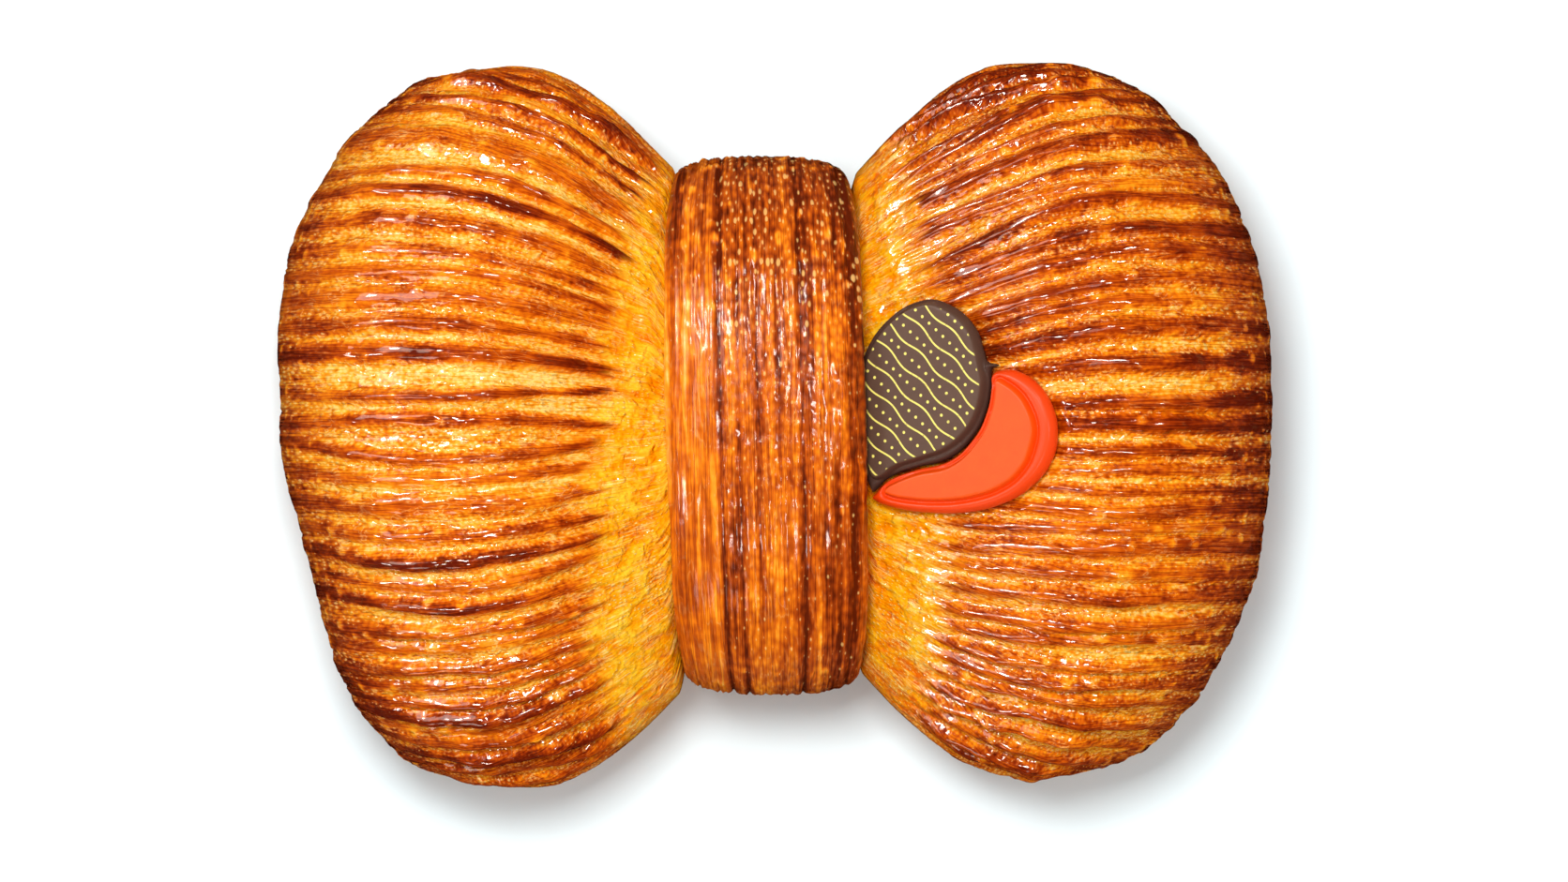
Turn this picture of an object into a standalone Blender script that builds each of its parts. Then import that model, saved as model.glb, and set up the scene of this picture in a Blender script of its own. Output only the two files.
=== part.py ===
"""A baked bow tie croissant: two ribbed fan-shaped wings of one piece of
laminated dough, a strip of the same dough wrapped round the waist, and a
two-tone moulded chocolate heart tucked under the strip on the right wing.

Metres, +Z up, X along the bow, Y across it.  The object stands on its flat
baked underside at z = 0.
"""
import math

import bmesh
import bpy
import numpy as np
from mathutils import Matrix, Vector

MM = 0.001

# ---------------------------------------------------------------- dimensions
# all lengths in millimetres, all angles in degrees
NAME = "bow_tie_croissant"

WAIST_HALF = 32.8      # half width of the dough where the strip wraps it
WAIST_TOP = 37.5       # height of the dough there
WAIST_BOTTOM = 6.3     # underside of the dough there
NECK_X = 10.0          # the wings start this far from the middle
SEAM_Z = 21.0          # height of the widest line round each wing
CROWN_Z = 53.0         # height of each wing's crown
CROWN_T = 0.55         # where along a wing the crown lies, 0 neck to 1 rim
RIM_POWER = 2.2        # roundness of the fall from crown to rim
ACROSS_POWER = 2.25    # roundness across a wing
WIDEST_T = 0.763       # where along a wing its edge stands out furthest
BASE_SPREAD = 1.6      # how far the flat underside spreads
BASE_T = 0.45          # where the underside starts to curve up to the rim

WINGS = {
    # sign of X, rim, half widths toward +Y and -Y, rim reach at the corner,
    # fullness of the corner toward +Y and -Y
    "left": (-1.0, 74.1, 53.8, 54.4, 37.2, 0.075, -0.085),
    "right": (1.0, 74.1, 54.6, 52.6, 34.8, 0.030, 0.010),
}
# how each edge leaves the waist, toward +Y and -Y: start, run, extra width and
# how fast the extra dies out, fall at the rim
RISE = {
    "left": ((0.085, 0.060, -0.03, 1.0, 0.026), (0.065, 0.055, 0.11, 1.0, 0.040)),
    "right": ((0.0, 0.060, 0.13, 2.0, 0.030), (0.035, 0.050, 0.05, 1.0, 0.016)),
}

RIDGE_HEIGHT = 1.6     # crest over valley for a ridge of strength 1
RIDGE_START = (0.10, 0.30)   # ridges rise out of the smooth neck over this t
# the ribs of each wing from the +Y edge to the -Y edge: bearing near the
# neck, half way and at the rim, then strength
RIDGES = {
    "left": (
        (84.0, 83.0, 82.0, 0.5), (79.5, 77.5, 77.5, 0.6),
        (75.5, 72.0, 74.0, 1.0), (70.8, 68.6, 71.0, 0.4),
        (66.3, 64.7, 67.3, 1.0), (60.5, 60.0, 62.5, 0.8),
        (57.0, 56.6, 58.3, 0.4), (53.0, 52.8, 53.6, 0.8),
        (45.8, 45.3, 44.8, 0.8), (41.0, 40.8, 40.0, 1.1),
        (34.8, 34.8, 34.0, 0.9), (30.0, 29.2, 29.3, 0.8),
        (26.2, 25.5, 24.5, 0.8), (22.0, 21.0, 20.3, 0.8),
        (17.2, 16.5, 16.0, 0.8), (12.0, 11.7, 11.0, 1.2),
        (6.6, 4.5, 5.0, 1.0), (0.5, 0.8, 0.3, 1.0),
        (-4.0, -5.6, -3.0, 0.9), (-8.5, -8.8, -8.0, 0.7),
        (-13.0, -13.3, -12.7, 0.9), (-18.4, -17.8, -17.0, 0.9),
        (-22.0, -22.6, -20.3, 1.2), (-26.0, -26.8, -25.0, 0.8),
        (-31.5, -30.3, -28.6, 1.1), (-36.0, -35.0, -34.5, 0.9),
        (-39.7, -38.2, -38.0, 0.7), (-44.0, -42.7, -43.0, 0.9),
        (-48.0, -46.5, -46.3, 0.8), (-51.7, -50.6, -49.3, 0.8),
        (-56.0, -54.5, -52.3, 1.2), (-60.3, -57.4, -56.0, 0.5),
        (-64.5, -60.8, -59.8, 0.9), (-72.5, -66.5, -65.3, 1.2),
        (-79.5, -73.0, -71.0, 0.9), (-84.5, -80.0, -78.0, 0.7),
    ),
    "right": (
        (86.5, 83.0, 85.0, 0.7), (82.5, 76.0, 79.0, 0.9),
        (75.5, 70.0, 72.5, 1.0), (65.8, 64.3, 67.3, 0.9),
        (62.0, 61.8, 64.0, 0.9), (57.0, 56.0, 58.5, 0.8),
        (51.7, 50.7, 53.7, 1.1), (45.7, 45.2, 46.4, 0.8),
        (42.5, 41.5, 41.8, 0.7), (36.0, 38.4, 37.5, 1.0),
        (31.0, 32.3, 32.3, 1.0), (26.2, 28.3, 27.5, 0.9),
        (21.2, 23.4, 23.4, 0.9), (18.0, 20.0, 19.6, 0.7),
        (13.2, 15.2, 15.1, 1.0), (9.0, 9.5, 9.8, 1.1),
        (4.2, 3.6, 3.6, 1.1), (0.5, 0.0, 0.0, 1.2),
        (-4.0, -4.3, -4.5, 0.9), (-8.0, -7.4, -7.4, 0.7),
        (-11.2, -11.0, -11.0, 0.8), (-15.2, -14.2, -13.8, 0.9),
        (-19.7, -17.4, -17.2, 0.8), (-24.3, -20.8, -20.6, 0.9),
        (-28.3, -25.6, -25.5, 0.9), (-33.5, -29.8, -29.3, 1.1),
        (-39.5, -35.2, -34.5, 0.9), (-43.5, -38.4, -38.2, 0.9),
        (-48.3, -43.8, -43.8, 0.9), (-53.0, -48.2, -48.3, 0.9),
        (-57.0, -52.6, -53.0, 0.9), (-62.6, -57.8, -60.0, 1.1),
        (-68.0, -63.5, -69.0, 1.1), (-74.0, -70.4, -76.0, 1.0),
        (-79.5, -77.0, -81.0, 0.9), (-84.5, -82.5, -85.5, 0.8),
    ),
}

STRIP_X = -1.45        # middle of the wrapped strip
STRIP_TOP = (14.7, 12.3)     # half width and thickness over the top
STRIP_SIDE = (12.4, 7.3)     # the same at the two sides
STRIP_UNDER = (12.2, 6.3)    # the same underneath
STRIP_GAP = 0.45       # clearance between strip and waist
STRIP_SKEW = 0.9       # the strip leans this much over its length
# grooves of the strip's outer face, as a part of its half width, and depth
STRIP_GROOVES = ((-0.86, 0.35), (-0.74, 0.35), (-0.61, 0.35), (-0.46, 1.3),
                 (-0.27, 0.6), (-0.08, 0.55), (0.13, 0.6), (0.37, 0.75),
                 (0.58, 0.55), (0.73, 0.45), (0.87, 0.4))

HEART_AT = (26.95, 2.66)     # where the middle of the heart lies
HEART_Z = 45.1         # height of its underside there
HEART_TILT = 26.0      # it rises toward the rim of the wing
HEART_BASE = 2.4       # thickness of the moulded slab
HEART_STEP = 1.1       # the raised face over the slab
HEART_SEAT = 0.45      # clearance between the heart and the dough under it
# outlines seen from straight above, from the middle of the heart; a point
# with a third entry is a corner
DARK_EDGE = ((-4.9, 15.9), (-0.7, 15.1), (2.8, 11.9), (4.2, 8.1), (4.8, 6.8),
             (6.1, 6.3, 1), (5.0, 5.7), (4.9, 3.2), (4.2, -0.4), (2.4, -4.1),
             (-1.1, -7.4), (-6.3, -8.9), (-10.1, -10.3), (-12.4, -12.5, 1),
             (-13.5, -9.8), (-14.5, -4.9), (-14.8, 1.4), (-13.6, 7.7),
             (-10.1, 13.0))
DARK_FACE = ((-4.9, 14.7), (-1.4, 14.1), (1.3, 11.7), (2.4, 8.8), (2.7, 6.2),
             (3.5, 4.2), (3.7, 2.2), (3.0, -0.8), (1.3, -3.8), (-1.4, -6.2),
             (-5.1, -7.2), (-8.9, -8.1), (-11.4, -9.4), (-12.6, -8.4),
             (-13.2, -4.4), (-13.6, 1.4), (-12.5, 7.0), (-9.4, 12.0))
RED_EDGE = ((5.5, 4.9), (6.8, 5.7), (9.1, 5.5), (12.2, 3.5), (14.3, 0.3),
            (15.1, -3.8), (14.1, -8.0), (11.2, -11.6), (7.0, -14.1),
            (1.4, -15.5), (-4.9, -15.5), (-9.8, -14.7), (-12.3, -13.6),
            (-12.2, -13.1, 1), (-9.8, -10.8), (-6.2, -9.4), (-0.8, -7.9),
            (2.9, -4.4), (4.75, -0.5), (5.4, 3.0))
RED_FACE = ((6.0, 4.0), (7.1, 3.7), (9.2, 2.1), (10.6, 0.0), (11.5, -2.8),
            (11.2, -5.7), (9.7, -9.1), (6.7, -11.7), (2.1, -13.3),
            (-2.8, -13.8), (-7.6, -13.5), (-10.4, -12.8), (-10.5, -12.2),
            (-9.2, -11.3), (-5.9, -10.0), (-0.5, -8.6), (3.4, -4.8),
            (5.3, -0.7), (5.9, 2.6))


# ---------------------------------------------------------------- the dough
def smooth(s):
    s = np.clip(s, 0.0, 1.0)
    return s * s * (3.0 - 2.0 * s)


def fan_xy(side, t, a):
    """Plan position for t (0 neck, 1 rim) and bearing a in radians."""
    sign, rim, up, down, corner, full_up, full_down = WINGS[side]
    sa = np.sin(a)
    reach = np.where(a >= 0, up, down)
    neck = 0.5 * WAIST_HALF * (sa + a / (math.pi / 2))
    k = smooth(0.5 + 1.2 * sa)
    start, run, extra, power, fall = (
        m + (p - m) * k for p, m in zip(*RISE[side]))
    q = np.minimum(t / WIDEST_T, 1.0)
    rise = np.sin(math.pi / 2 * q) + extra * (1 - q) ** power
    rise = rise * smooth((t - start) / run)
    drop = np.maximum((t - WIDEST_T) / (1 - WIDEST_T), 0.0) ** 2 * fall
    y = neck + (reach * sa - neck) * rise - drop * reach * sa
    edge = WAIST_HALF + (reach - WAIST_HALF) * rise - drop * reach
    s = np.clip(np.abs(sa), 0.0, 1.0)
    full = np.where(a >= 0, full_up, full_down)
    span = rim - NECK_X - corner
    bulge = np.sqrt(np.maximum(1 - s * s, 0.0))
    bulge = bulge + full * np.maximum(np.sin(math.pi * s), 0.0) ** 1.5
    x = sign * (NECK_X + (corner + span * bulge) * t)
    return x, y, np.clip(np.abs(y) / edge, 0.0, 1.0)


def heart_plane(x):
    return HEART_Z + (x - HEART_AT[0]) * math.tan(math.radians(HEART_TILT))


def wing_point(side, t, a, under):
    x, y, across = fan_xy(side, t, a)
    dome = np.maximum(1 - across ** ACROSS_POWER, 0.0) ** (1 / ACROSS_POWER)
    if under:
        u = np.clip((t - BASE_T) / (1 - BASE_T), 0.0, 1.0)
        fall = np.maximum(1 - u ** RIM_POWER, 0.0) ** (1 / RIM_POWER)
        first = (1 - WAIST_BOTTOM / SEAM_Z) / BASE_SPREAD
        fall = fall * (first + (1 - first) * smooth((t - 0.05) / 0.2))
        z = SEAM_Z * (1 - BASE_SPREAD * dome * fall)
        z = np.maximum(z, 0.0)
    else:
        u = np.clip((t - CROWN_T) / (1 - CROWN_T), 0.0, 1.0)
        top = SEAM_Z + (CROWN_Z - SEAM_Z) * np.maximum(
            1 - u ** RIM_POWER, 0.0) ** (1 / RIM_POWER)
        neck = WAIST_TOP + (CROWN_Z - WAIST_TOP) * smooth(t / CROWN_T)
        top = np.where(t < CROWN_T, neck, top)
        z = SEAM_Z + (top - SEAM_Z) * dome
    return x, y, z


def ridge_bearing(row, t):
    """Bearing of a ridge along the wing, through its three stations."""
    near, mid, far = row[0], row[1], row[2]
    q = min(max(t, 0.2), 1.0)
    a, b, c = 0.33, 0.65, 0.97
    return (near * (q - b) * (q - c) / ((a - b) * (a - c))
            + mid * (q - a) * (q - c) / ((b - a) * (b - c))
            + far * (q - a) * (q - b) / ((c - a) * (c - b)))


def line_bearings(side, t, under):
    """Bearings of the valley and crest lines, +Y edge to -Y edge."""
    rows = RIDGES[side]
    n = len(rows)
    crests = [ridge_bearing(r, 1.0 if under else t) for r in rows]
    lines = [90.0]
    for i in range(n):
        lines.append(crests[i])
        lines.append(0.5 * (crests[i] + crests[i + 1]) if i < n - 1 else -90.0)
    even = [90.0 - 180.0 * k / (2 * n) for k in range(2 * n + 1)]
    w = float(smooth((t - 0.02) / 0.2))
    return [math.radians(e + (v - e) * w) for e, v in zip(even, lines)]


def crest_heights(side):
    out = [0.0]
    for row in RIDGES[side]:
        out.append(row[3])
        out.append(0.0)
    return out


T_NECK = [0.0, 0.05, 0.10, 0.18, 0.28, 0.41, 0.55]
T_RIM = [CROWN_T + (1 - CROWN_T) * math.sin(math.radians(d))
         for d in (24, 44, 62, 78)]
STATIONS = T_NECK + T_RIM


def build_wings():
    """One closed skin: rim of the left wing, through the waist, to the rim of
    the right wing.  Every station is a ring of top lines and under lines."""
    lines = 2 * len(RIDGES["left"]) + 1
    verts = []
    lift = []          # how far each vertex moves along its normal
    rings = []

    def ring(side, t):
        start = len(verts)
        heights = crest_heights(side)
        for under in (False, True):
            bearings = line_bearings(side, t, under)
            order = range(lines) if not under else range(lines - 2, 0, -1)
            for k in order:
                a = bearings[k]
                x, y, z = wing_point(side, np.float64(t), np.float64(a), under)
                verts.append((float(x), float(y), float(z)))
                h = (heights[k] - 0.45) * RIDGE_HEIGHT
                h *= float(smooth((t - RIDGE_START[0])
                                  / (RIDGE_START[1] - RIDGE_START[0])))
                h *= 1.0 - 0.35 * float(smooth((t - 0.8) / 0.2))
                if under:
                    h *= float(smooth(float(z) / 8.0)) * 0.8
                if k in (0, lines - 1):
                    h = 0.0
                lift.append(h)
        rings.append(list(range(start, len(verts))))

    for t in reversed(STATIONS[1:]):
        ring("left", t)
    ring("left", 0.0)
    ring("right", 0.0)
    for t in STATIONS[1:]:
        ring("right", t)

    count = len(rings[0])
    faces = []
    for r0, r1 in zip(rings[:-1], rings[1:]):
        for k in range(count):
            m = (k + 1) % count
            faces.append((r0[k], r1[k], r1[m], r0[m]))

    # each rim is one line of points shared by the top and the underside
    for side, last, flip in (("left", rings[0], True),
                             ("right", rings[-1], False)):
        bearings = line_bearings(side, 1.0, False)
        heights = crest_heights(side)
        rim = []
        for k in range(1, lines - 1):
            x, y, z = wing_point(side, np.float64(1.0),
                                 np.float64(bearings[k]), False)
            verts.append((float(x), float(y), float(z)))
            lift.append((heights[k] - 0.45) * RIDGE_HEIGHT * 0.65)
            rim.append(len(verts) - 1)
        top = [last[k] for k in range(lines)]
        low = [last[0]] + [last[2 * lines - 2 - k] for k in range(1, lines - 1)]
        low = low + [last[lines - 1]]
        full = [last[0]] + rim + [last[lines - 1]]
        for k in range(lines - 1):
            for row, turn in ((top, flip), (low, not flip)):
                quad = [row[k], full[k], full[k + 1], row[k + 1]]
                quad = [v for i, v in enumerate(quad) if v not in quad[:i]]
                if len(quad) < 3:
                    continue
                faces.append(tuple(reversed(quad)) if turn else tuple(quad))
    mesh = bpy.data.meshes.new("wings")
    mesh.from_pydata([tuple(c * MM for c in v) for v in verts], [], faces)
    mesh.update()
    bm = bmesh.new()
    bm.from_mesh(mesh)
    bm.verts.ensure_lookup_table()
    bmesh.ops.recalc_face_normals(bm, faces=bm.faces[:])
    bm.normal_update()
    normals = [v.normal.copy() for v in bm.verts]
    for v, n, h in zip(bm.verts, normals, lift):
        if v.co.z < 1e-6:
            continue
        v.co += n * (h * MM)
        v.co.z = max(v.co.z, 0.0)
        # a seat for the heart
        dx, dy = v.co.x / MM - HEART_AT[0], v.co.y / MM - HEART_AT[1]
        if math.hypot(dx, dy) < 23.0 and v.co.z > 30 * MM:
            v.co.z = min(v.co.z, (heart_plane(v.co.x / MM) - HEART_SEAT) * MM)
    flat = [f for f in bm.faces if all(abs(v.co.z) < 1e-7 for v in f.verts)]
    flat_set = set(flat)
    inner_edges = [e for e in bm.edges
                   if len(e.link_faces) == 2
                   and all(f in flat_set for f in e.link_faces)]
    bmesh.ops.dissolve_edges(bm, edges=inner_edges, use_verts=True)
    bm.to_mesh(mesh)
    bm.free()
    return mesh


# ---------------------------------------------------------------- the strip
def waist_ring(count_top, count_under):
    """Points and outward directions round the waist, in the YZ plane."""
    fine = []
    for under in (False, True):
        for k in range(400):
            # spaced by the cosine of a half turn so the sides are dense
            a = math.pi / 2 * math.cos(math.pi * k / 400)
            if under:
                a = -a
            _, y, z = wing_point("left", np.float64(0.0), np.float64(a), under)
            fine.append((float(y), float(z)))
    fine = np.array(fine)
    nxt = np.roll(fine, -1, axis=0)
    prv = np.roll(fine, 1, axis=0)
    tan = nxt - prv
    tan /= np.linalg.norm(tan, axis=1)[:, None]
    out = np.stack([-tan[:, 1], tan[:, 0]], axis=1)
    mid = fine.mean(axis=0)
    if np.sum((fine - mid) * out) < 0:
        out = -out
    seg = np.linalg.norm(nxt - fine, axis=1)
    # stations go by length and by turning together, so tight bends get more
    turn = np.arccos(np.clip(np.sum(out * np.roll(out, -1, axis=0), axis=1),
                             -1.0, 1.0))
    seg = 0.4 * seg / seg.sum() + 0.6 * turn / turn.sum()
    s = np.concatenate([[0.0], np.cumsum(seg)])
    total = s[-1]
    half = s[400]
    want = ([half * k / count_top for k in range(count_top)]
            + [half + (total - half) * k / count_under
               for k in range(count_under)])
    pts, nrm = [], []
    for w in want:
        i = int(np.searchsorted(s, w, side="right") - 1) % 800
        f = (w - s[i]) / max(seg[i], 1e-9)
        p = fine[i] * (1 - f) + nxt[i] * f
        n = out[i] * (1 - f) + out[(i + 1) % 800] * f
        pts.append(p)
        nrm.append(n / np.linalg.norm(n))
    return np.array(pts), np.array(nrm)


def strip_size(p):
    """Half width and thickness of the strip where it passes the point p."""
    y, z = p
    up = np.clip((z - SEAM_Z) / (WAIST_TOP - SEAM_Z), -1.0, 1.0)
    down = np.clip((SEAM_Z - z) / (SEAM_Z - WAIST_BOTTOM), 0.0, 1.0)
    k = smooth(up)
    m = smooth(down)
    wide = STRIP_SIDE[0] + (STRIP_TOP[0] - STRIP_SIDE[0]) * k \
        + (STRIP_UNDER[0] - STRIP_SIDE[0]) * m
    thick = STRIP_SIDE[1] + (STRIP_TOP[1] - STRIP_SIDE[1]) * k \
        + (STRIP_UNDER[1] - STRIP_SIDE[1]) * m
    return wide, thick


def strip_section():
    """Closed section as (part of half width, part of thickness, depth)."""
    pts = [(-0.62, 0.0, 0.0), (-0.2, 0.0, 0.0), (0.2, 0.0, 0.0),
           (0.62, 0.0, 0.0), (0.82, 0.12, 0.0), (0.95, 0.34, 0.0),
           (1.0, 0.56, 0.0)]
    edges = [1.0] + [g[0] for g in reversed(STRIP_GROOVES)] + [-1.0]
    depth = {g[0]: g[1] for g in STRIP_GROOVES}

    def crown(w):
        return 0.56 + 0.44 * (1 - abs(w) ** 2.6) ** (1 / 2.0)

    for a, b in zip(edges[:-1], edges[1:]):
        m = 0.5 * (a + b)
        pts.append((m, crown(m), 0.0))
        if b > -1.0:
            pts.append((b, crown(b), depth[b]))
    pts += [(-1.0, 0.56, 0.0), (-0.95, 0.34, 0.0), (-0.82, 0.12, 0.0)]
    return pts


def build_strip():
    pts, nrm = waist_ring(17, 13)
    section = strip_section()
    verts, faces = [], []
    m = len(section)
    for p, n in zip(pts, nrm):
        wide, thick = strip_size(p)
        for w, h, depth in section:
            off = STRIP_GAP + (thick - STRIP_GAP) * h - depth * 0.9
            y = p[0] + n[0] * off
            z = max(p[1] + n[1] * off, 0.0)
            x = STRIP_X + w * wide - STRIP_SKEW * y / 40.0
            verts.append((x * MM, y * MM, z * MM))
    c = len(pts)
    for i in range(c):
        j = (i + 1) % c
        for k in range(m):
            q = (k + 1) % m
            faces.append((i * m + k, i * m + q, j * m + q, j * m + k))
    mesh = bpy.data.meshes.new("strip")
    mesh.from_pydata(verts, [], faces)
    mesh.update()
    bm = bmesh.new()
    bm.from_mesh(mesh)
    bmesh.ops.recalc_face_normals(bm, faces=bm.faces[:])
    bm.to_mesh(mesh)
    bm.free()
    return mesh


# ---------------------------------------------------------------- the heart
def outline_body(name, outline, low, high, rounding):
    """A filled outline given thickness from low to high, as a mesh object
    with a Bevel modifier round its edges.  The outline is stretched so that,
    once tilted, it is right from above."""
    tilt = math.radians(HEART_TILT)
    mid = 0.5 * (low + high)
    curve = bpy.data.curves.new(name, "CURVE")
    curve.dimensions = "2D"
    curve.fill_mode = "BOTH"
    curve.resolution_u = 2
    curve.extrude = 0.5 * (high - low) * MM
    spline = curve.splines.new("BEZIER")
    spline.use_cyclic_u = True
    spline.bezier_points.add(len(outline) - 1)
    for point, entry in zip(spline.bezier_points, outline):
        x = (entry[0] + mid * math.sin(tilt)) / math.cos(tilt)
        point.co = (x * MM, entry[1] * MM, 0.0)
        kind = "VECTOR" if len(entry) > 2 else "AUTO"
        point.handle_left_type = kind
        point.handle_right_type = kind
    holder = bpy.data.objects.new(name + "_outline", curve)
    bpy.context.scene.collection.objects.link(holder)
    bpy.context.view_layer.update()
    graph = bpy.context.evaluated_depsgraph_get()
    mesh = bpy.data.meshes.new_from_object(holder.evaluated_get(graph))
    bpy.data.objects.remove(holder)
    mesh.transform(Matrix.Translation((0.0, 0.0, mid * MM)))
    bm = bmesh.new()
    bm.from_mesh(mesh)
    bmesh.ops.remove_doubles(bm, verts=bm.verts[:], dist=2e-6)
    bmesh.ops.dissolve_limit(bm, angle_limit=0.01, verts=bm.verts[:],
                             edges=bm.edges[:])
    bmesh.ops.recalc_face_normals(bm, faces=bm.faces[:])
    bm.to_mesh(mesh)
    bm.free()
    obj = bpy.data.objects.new(name, mesh)
    bpy.context.scene.collection.objects.link(obj)
    bevel = obj.modifiers.new("round", "BEVEL")
    bevel.width = rounding * MM
    bevel.segments = 2
    bevel.limit_method = "ANGLE"
    bevel.angle_limit = math.radians(60)
    return obj


def build_heart_half(name, edge, face):
    """The slab of one half with its raised face, tilted onto the wing."""
    slab = outline_body(name, edge, 0.0, HEART_BASE, 0.6)
    raised = outline_body(name + "_face", face, 0.8,
                          HEART_BASE + HEART_STEP, 0.4)
    join = slab.modifiers.new("join", "BOOLEAN")
    join.operation = "UNION"
    join.solver = "EXACT"
    join.object = raised
    bpy.context.view_layer.update()
    graph = bpy.context.evaluated_depsgraph_get()
    mesh = bpy.data.meshes.new_from_object(slab.evaluated_get(graph))
    mesh.name = name
    bpy.data.objects.remove(slab)
    bpy.data.objects.remove(raised)
    place = Matrix.Translation((HEART_AT[0] * MM, HEART_AT[1] * MM,
                                HEART_Z * MM))
    place = place @ Matrix.Rotation(-math.radians(HEART_TILT), 4, "Y")
    mesh.transform(place)
    bm = bmesh.new()
    bm.from_mesh(mesh)
    bmesh.ops.remove_doubles(bm, verts=bm.verts[:], dist=2e-6)
    bmesh.ops.dissolve_degenerate(bm, dist=1e-6, edges=bm.edges[:])
    bmesh.ops.recalc_face_normals(bm, faces=bm.faces[:])
    bm.to_mesh(mesh)
    bm.free()
    return mesh


# ---------------------------------------------------------------- assembly
def plain_material(name, colour, roughness):
    mat = bpy.data.materials.new(name)
    mat.use_nodes = True
    bsdf = mat.node_tree.nodes.get("Principled BSDF")
    bsdf.inputs["Base Color"].default_value = (*colour, 1.0)
    bsdf.inputs["Roughness"].default_value = roughness
    mat.diffuse_color = (*colour, 1.0)
    return mat


def main():
    for obj in list(bpy.data.objects):
        bpy.data.objects.remove(obj)
    group = bpy.data.collections.new(NAME)
    bpy.context.scene.collection.children.link(group)

    meshes = {
        "wings": build_wings(),
        "strip": build_strip(),
        "heart_dark": build_heart_half("heart_dark", DARK_EDGE, DARK_FACE),
        "heart_red": build_heart_half("heart_red", RED_EDGE, RED_FACE),
    }
    looks = {
        "wings": ("dough", (0.58, 0.22, 0.035), 0.35),
        "strip": ("strip_dough", (0.46, 0.14, 0.02), 0.35),
        "heart_dark": ("dark_chocolate", (0.075, 0.035, 0.025), 0.35),
        "heart_red": ("red_chocolate", (0.9, 0.11, 0.02), 0.3),
    }

    corners = []
    for mesh in meshes.values():
        co = np.empty(len(mesh.vertices) * 3)
        mesh.vertices.foreach_get("co", co)
        co = co.reshape(-1, 3)
        corners.append(co.min(axis=0))
        corners.append(co.max(axis=0))
    low = np.min(corners, axis=0)
    high = np.max(corners, axis=0)
    shift = Matrix.Translation((-(low[0] + high[0]) / 2,
                                -(low[1] + high[1]) / 2, -low[2]))
    print("shift", [round(v / MM, 4) for v in shift.translation])
    for name, mesh in meshes.items():
        mesh.transform(shift)
        obj = bpy.data.objects.new(name, mesh)
        mesh.name = name
        group.objects.link(obj)
        slot, colour, rough = looks[name]
        mesh.materials.clear()
        mesh.materials.append(plain_material(slot, colour, rough))
        for poly in mesh.polygons:
            poly.use_smooth = name in ("wings", "strip")
            poly.material_index = 0
        tris = sum(len(p.vertices) - 2 for p in mesh.polygons)
        print(name, "verts", len(mesh.vertices), "triangles", tris)
    print("size", [round(v / MM, 2) for v in (high - low)])


main()
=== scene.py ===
"""Looks of the bow tie croissant: detailed crust, wrapped strip, chocolate
heart, soft studio light, and a camera straight above."""
import math

import bpy
import numpy as np
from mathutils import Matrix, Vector, geometry


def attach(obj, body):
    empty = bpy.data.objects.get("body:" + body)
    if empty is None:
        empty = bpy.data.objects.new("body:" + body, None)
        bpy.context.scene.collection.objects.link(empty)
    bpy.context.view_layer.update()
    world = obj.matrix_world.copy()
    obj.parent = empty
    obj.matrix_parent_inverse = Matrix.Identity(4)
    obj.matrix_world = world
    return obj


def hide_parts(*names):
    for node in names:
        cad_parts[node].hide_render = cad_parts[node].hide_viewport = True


MM = 0.001
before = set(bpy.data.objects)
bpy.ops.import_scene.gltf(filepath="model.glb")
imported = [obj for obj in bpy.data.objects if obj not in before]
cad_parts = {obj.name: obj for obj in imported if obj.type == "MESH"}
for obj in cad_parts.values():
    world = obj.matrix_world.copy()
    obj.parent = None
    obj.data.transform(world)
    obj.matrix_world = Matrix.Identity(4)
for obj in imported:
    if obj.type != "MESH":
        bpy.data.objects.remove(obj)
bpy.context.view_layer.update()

# the CAD solids were centred on the origin after building, by this much (mm)
SHIFT = np.array([0.1798, -0.1272, 0.0])

# ------------------------------------------------------------ form of the dough
WAIST_HALF, WAIST_TOP, WAIST_BOTTOM = 32.8, 37.5, 6.3
NECK_X, SEAM_Z, CROWN_Z, CROWN_T = 10.0, 21.0, 53.0, 0.55
RIM_POWER, ACROSS_POWER, WIDEST_T = 2.2, 2.25, 0.763
BASE_SPREAD, BASE_T = 1.6, 0.45
WINGS = {
    "left": (-1.0, 74.1, 53.8, 54.4, 37.2, 0.075, -0.085),
    "right": (1.0, 74.1, 54.6, 52.6, 34.8, 0.030, 0.010),
}
# how each edge leaves the waist, toward +Y and -Y: start, run, extra width and
# how fast the extra dies out, fall at the rim
RISE = {
    "left": ((0.085, 0.060, -0.03, 1.0, 0.026), (0.065, 0.055, 0.11, 1.0, 0.040)),
    "right": ((0.0, 0.060, 0.13, 2.0, 0.030), (0.035, 0.050, 0.05, 1.0, 0.016)),
}
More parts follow.
